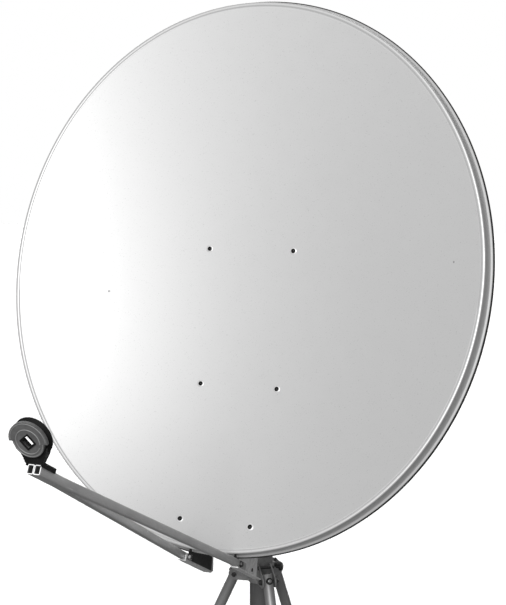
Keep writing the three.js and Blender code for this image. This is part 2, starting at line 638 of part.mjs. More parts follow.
function addLeg(name, azimuth) {
  const length = (LEG_PIVOT.height - 20) / cos(LEG_SPLAY);
  const spoke = group(hub, 0, 0, 0, { z: THREE.MathUtils.degToRad(azimuth) });
  const leg = group(spoke, LEG_PIVOT.radius, 0, LEG_PIVOT.height, { y: -LEG_SPLAY });
  add(leg, `leg_${name}`, legTube(length), GALVANISED);
  add(leg, `foot_${name}`, legFoot(length), RUBBER);
  const side = EAR_INNER + EAR_SHEET + GAP;
  const pivot = hexBolt(4, 2 * side + 10, { radius: 7.5, height: 5.3 }).rotateZ(-PI / 2);
  const pin = hexBolt(3, 2 * side + 5, { radius: 5, height: 2.6 }).rotateZ(-PI / 2);
  const nut = hexNut(4 + GAP, 7.5, 6.5).rotateZ(PI / 2);
  add(spoke, `leg_bolt_${name}`, pivot.translate(LEG_PIVOT.radius, -side, LEG_PIVOT.height), ZINC);
  add(spoke, `leg_nut_${name}`, nut.translate(LEG_PIVOT.radius, side, LEG_PIVOT.height), ZINC);
  add(spoke, `stop_pin_${name}`, pin.translate(STOP_PIN.radius, -side, STOP_PIN.height), ZINC);
}

addReflector();
addFaceBolts();
addRibs();
addTiePlate();
addBracket();
for (const [name, z] of Object.entries(CLAMP_HEIGHTS)) addClamp(name, z);
addPivotAndLocks();
addArms();
addFeedPlate();
addFeedHolder();
addMast();
addHub();
addKnob();
for (const [name, azimuth] of Object.entries(LEG_AZIMUTHS)) addLeg(name, azimuth);

export default satelliteDish;
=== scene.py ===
"""Looks of an offset satellite dish on a folding tripod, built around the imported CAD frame.

Metres, +Z up, in the CAD model's frame. Every piece is made in a frame of its own and then set in
place, and its mesh keeps the first set of coordinates as the attribute "grain", so that brushing,
spangle and streaks follow each piece.
"""

import json
import math

import bmesh
import bpy
import numpy as np
from mathutils import Matrix, Vector


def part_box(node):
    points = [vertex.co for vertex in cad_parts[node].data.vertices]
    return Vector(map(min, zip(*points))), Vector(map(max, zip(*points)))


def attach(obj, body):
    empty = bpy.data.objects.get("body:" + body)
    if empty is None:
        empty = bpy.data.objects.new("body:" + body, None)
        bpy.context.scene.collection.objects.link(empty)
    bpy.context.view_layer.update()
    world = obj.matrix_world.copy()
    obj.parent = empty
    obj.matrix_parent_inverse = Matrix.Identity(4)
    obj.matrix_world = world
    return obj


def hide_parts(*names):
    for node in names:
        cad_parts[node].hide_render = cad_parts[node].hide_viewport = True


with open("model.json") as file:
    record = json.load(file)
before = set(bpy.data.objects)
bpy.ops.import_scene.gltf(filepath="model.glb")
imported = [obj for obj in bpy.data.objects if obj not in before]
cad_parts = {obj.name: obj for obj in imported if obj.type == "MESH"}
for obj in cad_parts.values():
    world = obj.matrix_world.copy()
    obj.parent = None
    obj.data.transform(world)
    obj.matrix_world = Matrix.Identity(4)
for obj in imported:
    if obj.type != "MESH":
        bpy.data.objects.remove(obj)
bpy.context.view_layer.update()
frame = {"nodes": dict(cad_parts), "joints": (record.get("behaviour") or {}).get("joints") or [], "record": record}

MM = 0.001
SIDES = {"left": -1, "right": 1}
UPRIGHT = Matrix.Rotation(math.pi / 2, 4, "X")

# ------------------------------ places taken from the frame

JOINTS = {joint["name"]: joint for joint in frame["joints"]}
mast_low, mast_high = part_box("mast")
MAST_X = (mast_low.x + mast_high.x) / 2
MAST_Y = (mast_low.y + mast_high.y) / 2
MAST_AXIS = Matrix.Translation((MAST_X, MAST_Y, 0))

RIM_CENTRE = Vector((MAST_X, MAST_Y - 0.166, mast_high.z + 0.140))
RIM_LEAN = math.radians(12.85)
DISH = Matrix.Translation(RIM_CENTRE) @ Matrix.Rotation(-RIM_LEAN, 4, "X")

PIVOT = Vector(JOINTS["elevation"]["pos_m"])
ARM_TIP = RIM_CENTRE + Vector((0, -0.802, -0.2484))
ARM_SLOPE = math.radians(28.08)
ARMS = Matrix.Translation(ARM_TIP) @ Matrix.Rotation(-ARM_SLOPE, 4, "X")

# Feed pieces are made with local Z out of the front face, which looks along the dish's -Y.
FEED_TILT = math.radians(18)
FEED = Matrix.Translation(Vector(JOINTS["feed_skew"]["pos_m"])) @ Matrix.Rotation(FEED_TILT, 4, "X")
FEED_FRONT = FEED @ UPRIGHT

LEG_SPLAY = math.radians(24.5)
LEG_AZIMUTHS = {"left": 190, "front": 309, "back": 76}
LEG_PIVOT_RADIUS = 0.060
LEG_PIVOT_HEIGHT = JOINTS["left_leg_fold"]["pos_m"][2]
KNOB_PLACE = Vector(JOINTS["clamp_knob_turn"]["pos_m"])
KNOB_AXIS = Vector(JOINTS["clamp_knob_turn"]["axis"])
KNOB_AZIMUTH = 3

# ------------------------------ camera, light and floor

LENS = 69.0
CAMERA_PLACE = RIM_CENTRE + Vector((0.9775, -2.3206, 0.2147))
CAMERA_AHEAD = Vector((-0.36954, 0.92243, -0.11212))


def add_camera():
    """The photograph's viewpoint, fitted to the rim and the six face bolts."""
    data = bpy.data.cameras.new("camera")
    data.sensor_width = 36
    data.lens = LENS
    camera = bpy.data.objects.new("camera", data)
    bpy.context.scene.collection.objects.link(camera)
    camera.location = CAMERA_PLACE
    camera.rotation_euler = CAMERA_AHEAD.to_track_quat("-Z", "Y").to_euler()
    bpy.context.scene.camera = camera


def add_light(kind, name, place, target, power, **settings):
    """A soft light that the camera doesn't see."""
    data = bpy.data.lights.new(name, kind)
    data.energy = power
    for key, value in settings.items():
        setattr(data, key, value)
    light = bpy.data.objects.new(name, data)
    light.location = place
    light.rotation_euler = (Vector(target) - Vector(place)).to_track_quat("-Z", "Y").to_euler()
    light.visible_camera = False
    bpy.context.scene.collection.objects.link(light)
    return light


def add_studio():
    """A dim room seen as white, with a soft box beside the camera and a softer light from behind."""
    world = bpy.data.worlds.new("studio")
    world.use_nodes = True
    tree = world.node_tree
    background = tree.nodes["Background"]
    background.inputs["Color"].default_value = (1, 1, 1, 1)
    seen = tree.nodes.new("ShaderNodeLightPath").outputs["Is Camera Ray"]
    level = tree.nodes.new("ShaderNodeMapRange")
    level.inputs["To Min"].default_value = 0.17
    level.inputs["To Max"].default_value = 1.0
    tree.links.new(seen, level.inputs["Value"])
    tree.links.new(level.outputs["Result"], background.inputs["Strength"])
    bpy.context.scene.world = world
    bpy.context.scene.view_settings.view_transform = "Standard"
    key_place = RIM_CENTRE + Vector((0.52, -2.82, 0.88))
    back_place = RIM_CENTRE + Vector((-0.8, 2.0, 1.1))
    add_light("AREA", "key_light", key_place, RIM_CENTRE, 73, shape="RECTANGLE", size=1.3, size_y=1.3)
    add_light("SUN", "back_light", back_place, RIM_CENTRE, 1.3, angle=math.radians(60))


def add_floor():
    """A pale floor with a light of its own from above, so that it stays as pale as the room."""
    half = 30.0
    mesh = bpy.data.meshes.new("floor")
    corners = [(-half, -half, 0), (half, -half, 0), (half, half, 0), (-half, half, 0)]
    mesh.from_pydata(corners, [], [(0, 1, 2, 3)])
    floor = bpy.data.objects.new("floor", mesh)
    bpy.context.scene.collection.objects.link(floor)
    floor.visible_diffuse = False
    floor.visible_glossy = False
    look = Look("floor_paint", roughness=0.85)
    grain = look.noise(look.object_coordinates(), 9, detail=4)
    look.colour(look.ramp(grain, [(0.3, 0.90), (0.7, 0.93)]))
    mesh.materials.append(look.material)
    lit = bpy.data.collections.new("floor_only")
    lit.objects.link(floor)
    light = add_light("SUN", "floor_light", Vector((0, 0, 4)), Vector(), 2.9, angle=math.radians(50))
    light.light_linking.receiver_collection = lit


# ------------------------------ material nodes


class Look:
    """A Principled material with short names for the procedural nodes that it uses."""

    def __init__(self, name, metallic=0.0, roughness=0.5, coat=0.0, coat_roughness=0.1):
        self.material = bpy.data.materials.new(name)
        self.material.use_nodes = True
        self.tree = self.material.node_tree
        self.shader = self.tree.nodes["Principled BSDF"]
        self.shader.inputs["Metallic"].default_value = metallic
        self.shader.inputs["Roughness"].default_value = roughness
        self.shader.inputs["Coat Weight"].default_value = coat
        self.shader.inputs["Coat Roughness"].default_value = coat_roughness
        self.normal = None

    def link(self, source, target):
        self.tree.links.new(source, target)

    def object_coordinates(self):
        return self.tree.nodes.new("ShaderNodeTexCoord").outputs["Object"]

    def grain(self, scale=(1, 1, 1)):
        """The piece's own coordinates in metres, stretched by scale."""
        source = self.tree.nodes.new("ShaderNodeAttribute")
        source.attribute_name = "grain"
        mapping = self.tree.nodes.new("ShaderNodeMapping")
        mapping.inputs["Scale"].default_value = scale
        self.link(source.outputs["Vector"], mapping.inputs["Vector"])
        return mapping.outputs["Vector"]

    def noise(self, vector, scale, detail=2.0, rough=0.5):
        node = self.tree.nodes.new("ShaderNodeTexNoise")
        node.inputs["Scale"].default_value = scale
        node.inputs["Detail"].default_value = detail
        node.inputs["Roughness"].default_value = rough
        self.link(vector, node.inputs["Vector"])
        return node.outputs["Fac"]

    def cells(self, vector, scale):
        """A random colour for each cell."""
        node = self.tree.nodes.new("ShaderNodeTexVoronoi")
        node.inputs["Scale"].default_value = scale
        self.link(vector, node.inputs["Vector"])
        return node.outputs["Color"]

    def ramp(self, value, stops):
        """Maps value through grey or colour stops, each (position, grey or (r, g, b))."""
        node = self.tree.nodes.new("ShaderNodeValToRGB")
        elements = node.color_ramp.elements
        while len(elements) < len(stops):
            elements.new(0.5)
        for element, (position, shade) in zip(elements, stops):
            element.position = position
            element.color = (*shade, 1) if isinstance(shade, tuple) else (shade, shade, shade, 1)
        self.link(value, node.inputs["Fac"])
        return node.outputs["Color"]

    def mix(self, factor, a, b, mode="MIX"):
        node = self.tree.nodes.new("ShaderNodeMix")
        node.data_type = "RGBA"
        node.blend_type = mode
        sockets = [s for s in node.inputs if s.name in ("Factor", "A", "B") and s.enabled]
        for socket, value in zip(sockets, (factor, a, b)):
            if isinstance(value, (int, float)):
                socket.default_value = value
            elif isinstance(value, tuple):
                socket.default_value = (*value, 1)
            else:
                self.link(value, socket)
        return next(s for s in node.outputs if s.enabled)

    def colour(self, value):
        self.link(value, self.shader.inputs["Base Color"])

    def roughness(self, value):
        self.link(value, self.shader.inputs["Roughness"])

    def bump(self, height, distance, strength=1.0):
        node = self.tree.nodes.new("ShaderNodeBump")
        node.inputs["Strength"].default_value = strength
        node.inputs["Distance"].default_value = distance
        self.link(height, node.inputs["Height"])
        if self.normal is not None:
            self.link(self.normal, node.inputs["Normal"])
        self.normal = node.outputs["Normal"]
        self.link(self.normal, self.shader.inputs["Normal"])


ZINC_METALLIC = 0.55


def paint_look(name="reflector_paint", shade=1.0):
    """Satin powder paint on steel: broad tone, fine dark specks and orange peel."""
    look = Look(name, metallic=0.32, roughness=0.42, coat=0.5, coat_roughness=0.42)
    look.shader.inputs["Specular IOR Level"].default_value = 0.8
    here = look.grain()
    broad = look.ramp(look.noise(here, 2.2, detail=5), [(0.3, 0.734 * shade), (0.7, 0.748 * shade)])
    specks = look.ramp(look.noise(here, 420, detail=2), [(0.27, 0.80), (0.36, 1.0)])
    look.colour(look.mix(1.0, broad, specks, "MULTIPLY"))
    look.roughness(look.ramp(look.noise(here, 30, detail=4), [(0.3, 0.42), (0.7, 0.44)]))
    look.bump(look.noise(here, 650, detail=2), 0.00006, 0.5)
    return look.material


def galvanised_look(name, light, scale, rough=(0.42, 0.58)):
    """Hot-dip zinc: crystals of slightly different brightness under a fine grey bloom."""
    look = Look(name, metallic=ZINC_METALLIC)
    here = look.grain()
    bent = look.mix(0.004, here, look.noise(here, 160, detail=2))
    crystals = look.cells(bent, scale)
    spangle = look.ramp(crystals, [(0.0, light * 0.84), (1.0, light * 1.12)])
    bloom = look.ramp(look.noise(here, 55, detail=6, rough=0.65), [(0.35, 0.86), (0.62, 1.0)])
    look.colour(look.mix(1.0, spangle, bloom, "MULTIPLY"))
    look.roughness(look.ramp(look.noise(here, 90, detail=5), [(0.3, rough[0]), (0.7, rough[1])]))
    look.bump(look.noise(here, 700, detail=3), 0.00005, 0.5)
    return look.material


def drawn_tube_look(name, light, rough=(0.42, 0.58)):
    """Zinc-coated tube: fine draw lines along the grain's Z, mottled, with short scratches."""
    look = Look(name, metallic=ZINC_METALLIC)
    fine = look.noise(look.grain((1, 1, 0.012)), 1300, detail=2)
    lines = look.ramp(fine, [(0.3, light * 0.93), (0.7, light * 1.05)])
    mottle = look.noise(look.grain((1, 1, 0.4)), 48, detail=6, rough=0.6)
    body = look.mix(1.0, lines, look.ramp(mottle, [(0.3, 0.8), (0.7, 1.0)]), "MULTIPLY")
    marks = look.noise(look.grain((1, 1, 0.08)), 210, detail=1)
    look.colour(look.mix(look.ramp(marks, [(0.71, 0.0), (0.74, 0.5)]), body, (light * 1.3,) * 3))
    dull = look.noise(look.grain((1, 1, 0.1)), 160, detail=4)
    look.roughness(look.ramp(dull, [(0.3, rough[0]), (0.7, rough[1])]))
    look.bump(fine, 0.00004, 0.6)
    return look.material


def bolt_look(name, light):
    """Dulled zinc plate with darker grime in patches."""
    look = Look(name, metallic=0.95)
    here = look.grain()
    grime = look.noise(here, 260, detail=5, rough=0.6)
    look.colour(look.ramp(grime, [(0.3, light * 0.72), (0.7, light * 1.08)]))
    look.roughness(look.ramp(look.noise(here, 330, detail=4), [(0.3, 0.28), (0.7, 0.5)]))
    look.bump(look.noise(here, 900, detail=3), 0.00004, 0.6)
    return look.material


def plastic_look(name, light, grit=1500, rough=(0.42, 0.6), shine=0.5):
    """Moulded plastic with a fine spark-eroded texture, greyed by weather in patches."""
    look = Look(name)
    look.shader.inputs["Specular IOR Level"].default_value = shine
    here = look.grain()
    weather = look.noise(here, 60, detail=6, rough=0.65)
    look.colour(look.ramp(weather, [(0.32, light * 0.8), (0.68, light * 1.35)]))
    look.roughness(look.ramp(look.noise(here, 120, detail=4), [(0.3, rough[0]), (0.7, rough[1])]))
    look.bump(look.noise(here, grit, detail=2), 0.00009, 0.6)
    return look.material


PAINT = paint_look()
WORN_PAINT = paint_look("worn_paint", 0.55)
# The reflector's paint made lighter for the face bolts' seats: a painted highlight round each head.
SEAT_HIGHLIGHT_PAINT = paint_look("seat_painted_highlight", 1.22)
SHEET = galvanised_look("galvanised_sheet", 0.95, 95)
CAST = galvanised_look("tripod_galvanised", 0.40, 120, rough=(0.46, 0.62))
ARM_STEEL = drawn_tube_look("arm_tube", 0.60)
MAST_STEEL = drawn_tube_look("mast_tube", 0.20, rough=(0.48, 0.62))
LEG_STEEL = drawn_tube_look("leg_tube", 0.42, rough=(0.46, 0.62))
# Near-white for the arms' cut ends: the cut is bare steel, its brightness a painted highlight.
CUT_END_HIGHLIGHT = plastic_look("cut_steel_painted_highlight", 0.90)
ZINC = bolt_look("bolt_zinc", 0.50)
DARK_BOLT = bolt_look("dark_bolt", 0.12)
BLACK_BOLT = bolt_look("black_bolt", 0.03)
FEED_PLASTIC = plastic_look("feed_plastic", 0.095)
# A lighter copy of the feed plastic for the raised ribs: a painted highlight on their crests.
RIB_HIGHLIGHT_PLASTIC = plastic_look("feed_rib_painted_highlight", 0.19)
# Near-black plastic round the reflector's lip: painted shade on the lip's outer edge.
LIP_EDGE_SHADE = plastic_look("lip_edge_painted_shade", 0.03, rough=(0.6, 0.75), shine=0.2)
# Black plastic for the feed holder, its window collar and the arms' stoppers, made near-black: painted shade in
# the holder's cup and on the collar's window wall.
HOLDER_PLASTIC_AND_SHADE = plastic_look("feed_holder_plastic_and_shade", 0.008, rough=(0.5, 0.66), shine=0.12)
CAP_PLASTIC = plastic_look("cap_plastic", 0.022)
RUBBER = plastic_look("foot_rubber", 0.022, grit=900, rough=(0.7, 0.85))

# ------------------------------ mesh tools


def mm(*points):
    """Points given in millimetres, in metres."""
    return [tuple(value * MM for value in point) for point in points]


def finished(bm):
    """A closed mesh with merged points and outward faces."""
    bmesh.ops.remove_doubles(bm, verts=bm.verts, dist=1e-6)
    bmesh.ops.dissolve_degenerate(bm, dist=1e-7, edges=bm.edges)
    bmesh.ops.recalc_face_normals(bm, faces=bm.faces)
    mesh = bpy.data.meshes.new("part")
    bm.to_mesh(mesh)
    bm.free()
    return mesh


def mesh_of(points, faces):
    """A finished mesh from points and the faces between them."""
    mesh = bpy.data.meshes.new("part")
    mesh.from_pydata([tuple(p) for p in points], [], faces)
    bm = bmesh.new()
    bm.from_mesh(mesh)
    bpy.data.meshes.remove(mesh)
    return finished(bm)


def grid_faces(rows, columns, wrap_rows, wrap_columns):
    """Quads of a grid of points stored row by row."""
    faces = []
    for i in range(rows if wrap_rows else rows - 1):
        for j in range(columns if wrap_columns else columns - 1):
            a, b = i * columns, (i + 1) % rows * columns
            k = (j + 1) % columns
            faces.append((a + j, b + j, b + k, a + k))
    return faces


def lathe(profile, sides=64):
    """Turns (radius, z) points about Z. The profile is closed, or ends on the axis."""
    points = []
    for i in range(sides):
        turn = 2 * math.pi * i / sides
        points += [(r * math.cos(turn), r * math.sin(turn), z) for r, z in profile]
    on_axis = profile[0][0] < 1e-9 and profile[-1][0] < 1e-9
    return mesh_of(points, grid_faces(sides, len(profile), True, not on_axis))


def ring(outer, inner, low, high, edge=0.4 * MM, sides=64):
    """A bored disc or tube along Z with eased edges."""
    profile = [(inner, low + edge), (inner + edge, low), (outer - edge, low), (outer, low + edge)]
    profile += [(outer, high - edge), (outer - edge, high), (inner + edge, high), (inner, high - edge)]
    return lathe(profile, sides)


def disc(radius, low, high, edge=0.4 * MM, sides=64):
    """A solid disc or rod along Z with eased edges."""
    profile = [(0, low), (radius - edge, low), (radius, low + edge)]
    profile += [(radius, high - edge), (radius - edge, high), (0, high)]
    return lathe(profile, sides)


def extrude(loops, low, high):
    """A prism between two heights from an outline in XY and the outlines of its holes."""
    curve = bpy.data.curves.new("outline", "CURVE")
    curve.dimensions = "2D"
    curve.fill_mode = "BOTH"
    curve.extrude = (high - low) / 2
    for loop in loops:
        spline = curve.splines.new("POLY")
        spline.points.add(len(loop) - 1)
        for point, (x, y) in zip(spline.points, loop):
            point.co = (x, y, 0, 1)
        spline.use_cyclic_u = True
    holder = bpy.data.objects.new("outline", curve)
    mesh = bpy.data.meshes.new_from_object(holder)
    bm = bmesh.new()
    bm.from_mesh(mesh)
    bpy.data.objects.remove(holder)
    bpy.data.curves.remove(curve)
    bpy.data.meshes.remove(mesh)
    bmesh.ops.translate(bm, verts=bm.verts, vec=(0, 0, (high + low) / 2))
    return finished(bm)


def circle(radius, steps=48, centre=(0, 0), start=0.0, turn=360.0):
    """Points of a circle, or of the arc of turn degrees from start with both its ends."""
    full = turn >= 360
    count = steps if full else steps + 1
    angles = [math.radians(start + turn * i / steps) for i in range(count)]
    return [(centre[0] + radius * math.cos(a), centre[1] + radius * math.sin(a)) for a in angles]


def rounded_rectangle(width, height, radius, steps=5):
    """Points of a rectangle round the origin whose corners have steps segments each."""
    corners = [(1, 1, 0), (-1, 1, 90), (-1, -1, 180), (1, -1, 270)]
    points = []
    for sx, sy, start in corners:
        centre = (sx * (width / 2 - radius), sy * (height / 2 - radius))
        points += circle(radius, steps, centre, start, 90)
    return points


def sweep(sections, path, side):
    """Carries closed sections along a path in one plane. side is that plane's normal.
    With two sections the second is the bore, and the ends join the two."""
    path = [Vector(p) for p in path]
    side = Vector(side).normalized()
    shells = []
    for section in sections:
        rows = []
        for i, point in enumerate(path):
            before, after = path[max(i - 1, 0)], path[min(i + 1, len(path) - 1)]
            ahead = (after - before).normalized()
            up = ahead.cross(side).normalized()
            rows.append([point + side * a + up * b for a, b in section])
        shells.append(rows)
    count = len(sections[0])
    points = [p for rows in shells for row in rows for p in row]
    faces = []
    for k in range(len(shells)):
        start = k * len(path) * count
        faces += [tuple(start + n for n in face) for face in grid_faces(len(path), count, False, True)]
    last = (len(path) - 1) * count
    if len(shells) == 1:
        faces += [tuple(range(count)), tuple(range(last, last + count))]
    else:
        inner = len(path) * count
        for row in (0, last):
            for j in range(count):
                k = (j + 1) % count
                faces.append((row + j, row + k, inner + row + k, inner + row + j))
    return mesh_of(points, faces)


def joined(*meshes):
    """Several closed shells as one mesh."""
    bm = bmesh.new()
    for mesh in meshes:
        bm.from_mesh(mesh)
        bpy.data.meshes.remove(mesh)
    mesh = bpy.data.meshes.new("part")
    bm.to_mesh(mesh)
    bm.free()
    return mesh


def moved(mesh, matrix):
    """mesh itself, moved by matrix."""
    mesh.transform(matrix)
    if matrix.determinant() < 0:
        mesh.flip_normals()
    return mesh


def carved(mesh, tool):
    """mesh with tool cut from it."""
    body = bpy.data.objects.new("body", mesh)
    cutter = bpy.data.objects.new("cutter", tool)
    for item in (body, cutter):
        bpy.context.scene.collection.objects.link(item)
    change = body.modifiers.new("change", "BOOLEAN")
    change.operation = "DIFFERENCE"
    change.object = cutter
    change.solver = "EXACT"
    graph = bpy.context.evaluated_depsgraph_get()
    result = bpy.data.meshes.new_from_object(body.evaluated_get(graph), depsgraph=graph)
    for item in (body, cutter):
        bpy.data.objects.remove(item)
    bpy.data.meshes.remove(mesh)
    bpy.data.meshes.remove(tool)
    return result


def smooth_line(points, per_span):
    """A Catmull-Rom line through points, as tuples."""
    pts = [np.array(p, float) for p in points]
    last = len(pts) - 1
    line = []
    for i in range(last):
        p0, p1, p2, p3 = (pts[min(max(i + k, 0), last)] for k in (-1, 0, 1, 2))
        for step in range(per_span):
            t = step / per_span
            line.append(tuple(0.5 * (
                2 * p1 + (p2 - p0) * t + (2 * p0 - 5 * p1 + 4 * p2 - p3) * t * t
                + (3 * p1 - p0 - 3 * p2 + p3) * t ** 3
            )))
    line.append(tuple(pts[-1]))
    return line


GRAIN_STEP = 0.37
piece_count = 0


def piece(name, mesh, material, body, place=None, replaces=(), bevel=0.0, sharp=32, segments=2):
    """Sets a mesh in place as a finished piece that rides on a CAD body. Its grain starts a step
    further on than the last piece's, so that no two pieces show the same patches."""
    global piece_count
    piece_count += 1
    points = np.empty(len(mesh.vertices) * 3, np.float32)
    mesh.vertices.foreach_get("co", points)
    points = points.reshape(-1, 3) + GRAIN_STEP * piece_count
    mesh.attributes.new("grain", "FLOAT_VECTOR", "POINT").data.foreach_set("vector", points.ravel())
    if place is not None:
        moved(mesh, place)
    mesh.name = name
    mesh.materials.clear()
    mesh.materials.append(material)
    mesh.shade_smooth()
    mesh.set_sharp_from_angle(angle=math.radians(sharp))
    made = bpy.data.objects.new(name, mesh)
    bpy.context.scene.collection.objects.link(made)
    if bevel:
        edges = made.modifiers.new("eased_edges", "BEVEL")
        edges.width = bevel
        edges.segments = segments
        edges.limit_method = "ANGLE"
        edges.angle_limit = math.radians(30)
        edges.use_clamp_overlap = True
        faces = made.modifiers.new("flat_faces", "WEIGHTED_NORMAL")
        faces.keep_sharp = True
    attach(made, body)
    if replaces:
        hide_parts(*replaces)
    return made


def refined(node, material, grain_frame=None, bevel=0.5 * MM, merge=True):
    """A CAD node's own shape with eased edges, as a new piece. Merging its flat faces first closes
    up a bore's ring face, so a node with one keeps its faces as they are."""
    bm = bmesh.new()
    bm.from_mesh(frame["nodes"][node].data)
    bmesh.ops.remove_doubles(bm, verts=bm.verts, dist=2e-6)
    if merge:
        bmesh.ops.dissolve_limit(bm, angle_limit=math.radians(0.6), verts=bm.verts, edges=bm.edges)
    mesh = finished(bm)
    place = grain_frame or Matrix.Identity(4)
    mesh.transform(place.inverted())
    body = next(name for name, nodes in frame["record"]["behaviour"]["bodies"].items() if node in nodes)
    return piece(f"{node}_finished", mesh, material, body, place, [node], bevel)


# ------------------------------ fasteners, along local +Z


def hexagon_solid(flats, low, high, bore=0.0, top_chamfer=True, bottom_chamfer=False):
    """A hexagon blank whose corners are turned off at 30 degrees, closed or bored."""
    steps = 48
    plain = 0.1 * MM
    apothem = flats / 2
    round_radius = apothem * 0.97
    fall = math.tan(math.radians(30))
    rows = []
    for i in range(steps):
        turn = 2 * math.pi * i / steps
        corner = apothem / math.cos((turn % (math.pi / 3)) - math.pi / 6)
        drop = (corner - round_radius) * fall
        x, y = math.cos(turn), math.sin(turn)
        column = [
            (bore, low), (round_radius, low), (corner, low + (drop if bottom_chamfer else plain)),
            (corner, high - (drop if top_chamfer else plain)), (round_radius, high), (bore, high),
        ]
        rows += [(r * x, r * y, z) for r, z in column]
    return mesh_of(rows, grid_faces(steps, len(column), True, bore > 0))


def threaded_rod(radius, low, high, pitch):
    """A rod whose threads are turned ridges, with a chamfered end at the top."""
    turns = max(int((high - low - radius * 0.3) / pitch), 1)
    root = radius - pitch * 0.5
    profile = [(0, low), (root, low)]
    for i in range(turns):
        z = low + i * pitch
        profile += [(radius, z + pitch * 0.5), (root, z + pitch)]
    profile += [(root, high - radius * 0.25), (root * 0.8, high), (0, high)]
    return lathe(profile, 32)


def along(point, direction):
    """A frame at point whose Z runs along direction."""
    turn = Vector((0, 0, 1)).rotation_difference(Vector(direction).normalized())
    return Matrix.Translation(point) @ turn.to_matrix().to_4x4()


# ------------------------------ reflector

RIM_WIDTH = 1.087
RIM_HEIGHT = 1.200
FOCAL_LENGTH = 0.651
OFFSET_ANGLE = math.acos(RIM_WIDTH / RIM_HEIGHT)
AXIS_OFFSET = 2 * FOCAL_LENGTH * math.tan(OFFSET_ANGLE)
RIM_RISE = ((RIM_WIDTH / 2) ** 2 + AXIS_OFFSET ** 2) / (4 * FOCAL_LENGTH)
SKIN = 1.2 * MM

RIM_COLUMNS = 288
BOWL_ROWS = 34
BOWL_REACH = 0.990

# The rim in section: (outside the bowl's edge, behind the rim plane) in millimetres. The sheet turns
# over a rounded bead, runs back as a wall, and ends in a rolled lip, round whose outer edge a dark band is painted
# shade.
RIM_FRONT = [(-3.4, 0.8), (-2.0, -0.5), (0.2, -1.3), (2.6, -1.4), (4.2, -0.6), (5.0, 1.0), (5.6, 4),
             (6.2, 10), (7.2, 18), (8.4, 25)]
RIM_LIP = [(9.8, 28), (11.8, 29), (14.2, 29.9), (16.1, 31.2), (16.8, 32.6), (16.9, 35), (16.7, 36.8),
           (15.4, 37.2), (13.6, 36.4), (11, 34.6)]
RIM_BACK = [(7.9, 31), (6.9, 25), (5.8, 18), (4.9, 10), (4.2, 4), (3.2, 1.4), (2.2, 0.2), (0.4, 0),
            (-1.4, 0.8), (-2.6, 2.0)]
LIP_SHADE_PROFILE = [(14.9, 29.6), (16.4, 30.2), (17.4, 31.6), (17.5, 33.2), (17.5, 37.0), (16.9, 37.8), (15.2, 38.0),
            (14.6, 37.4), (16.2, 36.6), (16.4, 34), (15.9, 31.6)]


def bowl_point(across, up):
    """Front face of the bowl in the dish's frame, from aperture coordinates."""
    rise = (across ** 2 + (up + AXIS_OFFSET) ** 2) / (4 * FOCAL_LENGTH) - RIM_RISE
    height = up * math.cos(OFFSET_ANGLE) + rise * math.sin(OFFSET_ANGLE)
    depth = up * math.sin(OFFSET_ANGLE) - rise * math.cos(OFFSET_ANGLE)
    return Vector((across, depth, height))


def bowl_depth(x, height):
    """Depth of the front face behind the rim plane."""
    a = math.sin(OFFSET_ANGLE) / (4 * FOCAL_LENGTH)
    b = math.cos(OFFSET_ANGLE) + 2 * a * AXIS_OFFSET
    c = a * (x ** 2 - (RIM_WIDTH / 2) ** 2) - height
    up = (-b + math.sqrt(b * b - 4 * a * c)) / (2 * a)
    return bowl_point(x, up).y


def bowl_normal(x, height):
    """Unit normal out of the bowl's front."""
    step = 1 * MM
    slope_x = (bowl_depth(x + step, height) - bowl_depth(x - step, height)) / (2 * step)
    slope_z = (bowl_depth(x, height + step) - bowl_depth(x, height - step)) / (2 * step)
    return Vector((slope_x, -1, slope_z)).normalized()


def on_bowl(x, height, lift=0.0):
    """A frame on the bowl's front face whose Z points out of the bowl."""
    normal = bowl_normal(x, height)
    return along(Vector((x, bowl_depth(x, height), height)) + normal * lift, normal)


def round_the_bowl(profile, closed):
    """A profile of (share of the bowl's radius, outward, backward) carried round the rim."""
    points = []
    for i in range(RIM_COLUMNS):
        turn = 2 * math.pi * i / RIM_COLUMNS
        outward = Vector((math.sin(turn) / RIM_WIDTH, 0, math.cos(turn) / RIM_HEIGHT)).normalized()
        for radius, out, back in profile:
            reach = radius * RIM_WIDTH / 2
            point = bowl_point(reach * math.sin(turn), reach * math.cos(turn))
            points.append(point + outward * out + Vector((0, back, 0)))
    return mesh_of(points, grid_faces(RIM_COLUMNS, len(profile), True, closed))


def add_reflector():
    """The shell as one skin, closer meshed towards the rim, and a dark band round its lip that is painted shade.
    """
    bowl = [BOWL_REACH * math.sin(math.pi / 2 * i / BOWL_ROWS) ** 0.9 for i in range(BOWL_ROWS + 1)]
    shell = [(r, 0, 0) for r in bowl] + [(0.9925, 0, 0.3 * MM)]
    shell += [(1, *p) for p in mm(*smooth_line(RIM_FRONT + RIM_LIP + RIM_BACK, per_span=3))]
    shell += [(r, 0, SKIN) for r in reversed(bowl)]
    piece("reflector_shell", round_the_bowl(shell, False), PAINT, "dish", DISH,
          ["reflector"], sharp=50)
    # The dark band round the lip is painted shade.
    dark_band = [(1, *p) for p in mm(*LIP_SHADE_PROFILE)]
    piece("reflector_lip_shade_band", round_the_bowl(dark_band, True), LIP_EDGE_SHADE, "dish", DISH, sharp=50)


# ------------------------------ bolts through the reflector

FACE_BOLT_ROWS = {"top": 0.062, "middle": -0.247, "bottom": -0.544}
BOLT_FROM_WEB = 0.0245
PAINT_NIBS = [(-0.334, -0.049), (0.479, 0.037)]
WEB_FOOT_X, WEB_FOOT_HEIGHT, WEB_LEAN = 0.0545, 0.640, 0.0322


def web_outer(height):
    """Distance of a rib's outer face from the middle of the dish."""
    return WEB_FOOT_X + WEB_LEAN * (height + WEB_FOOT_HEIGHT)


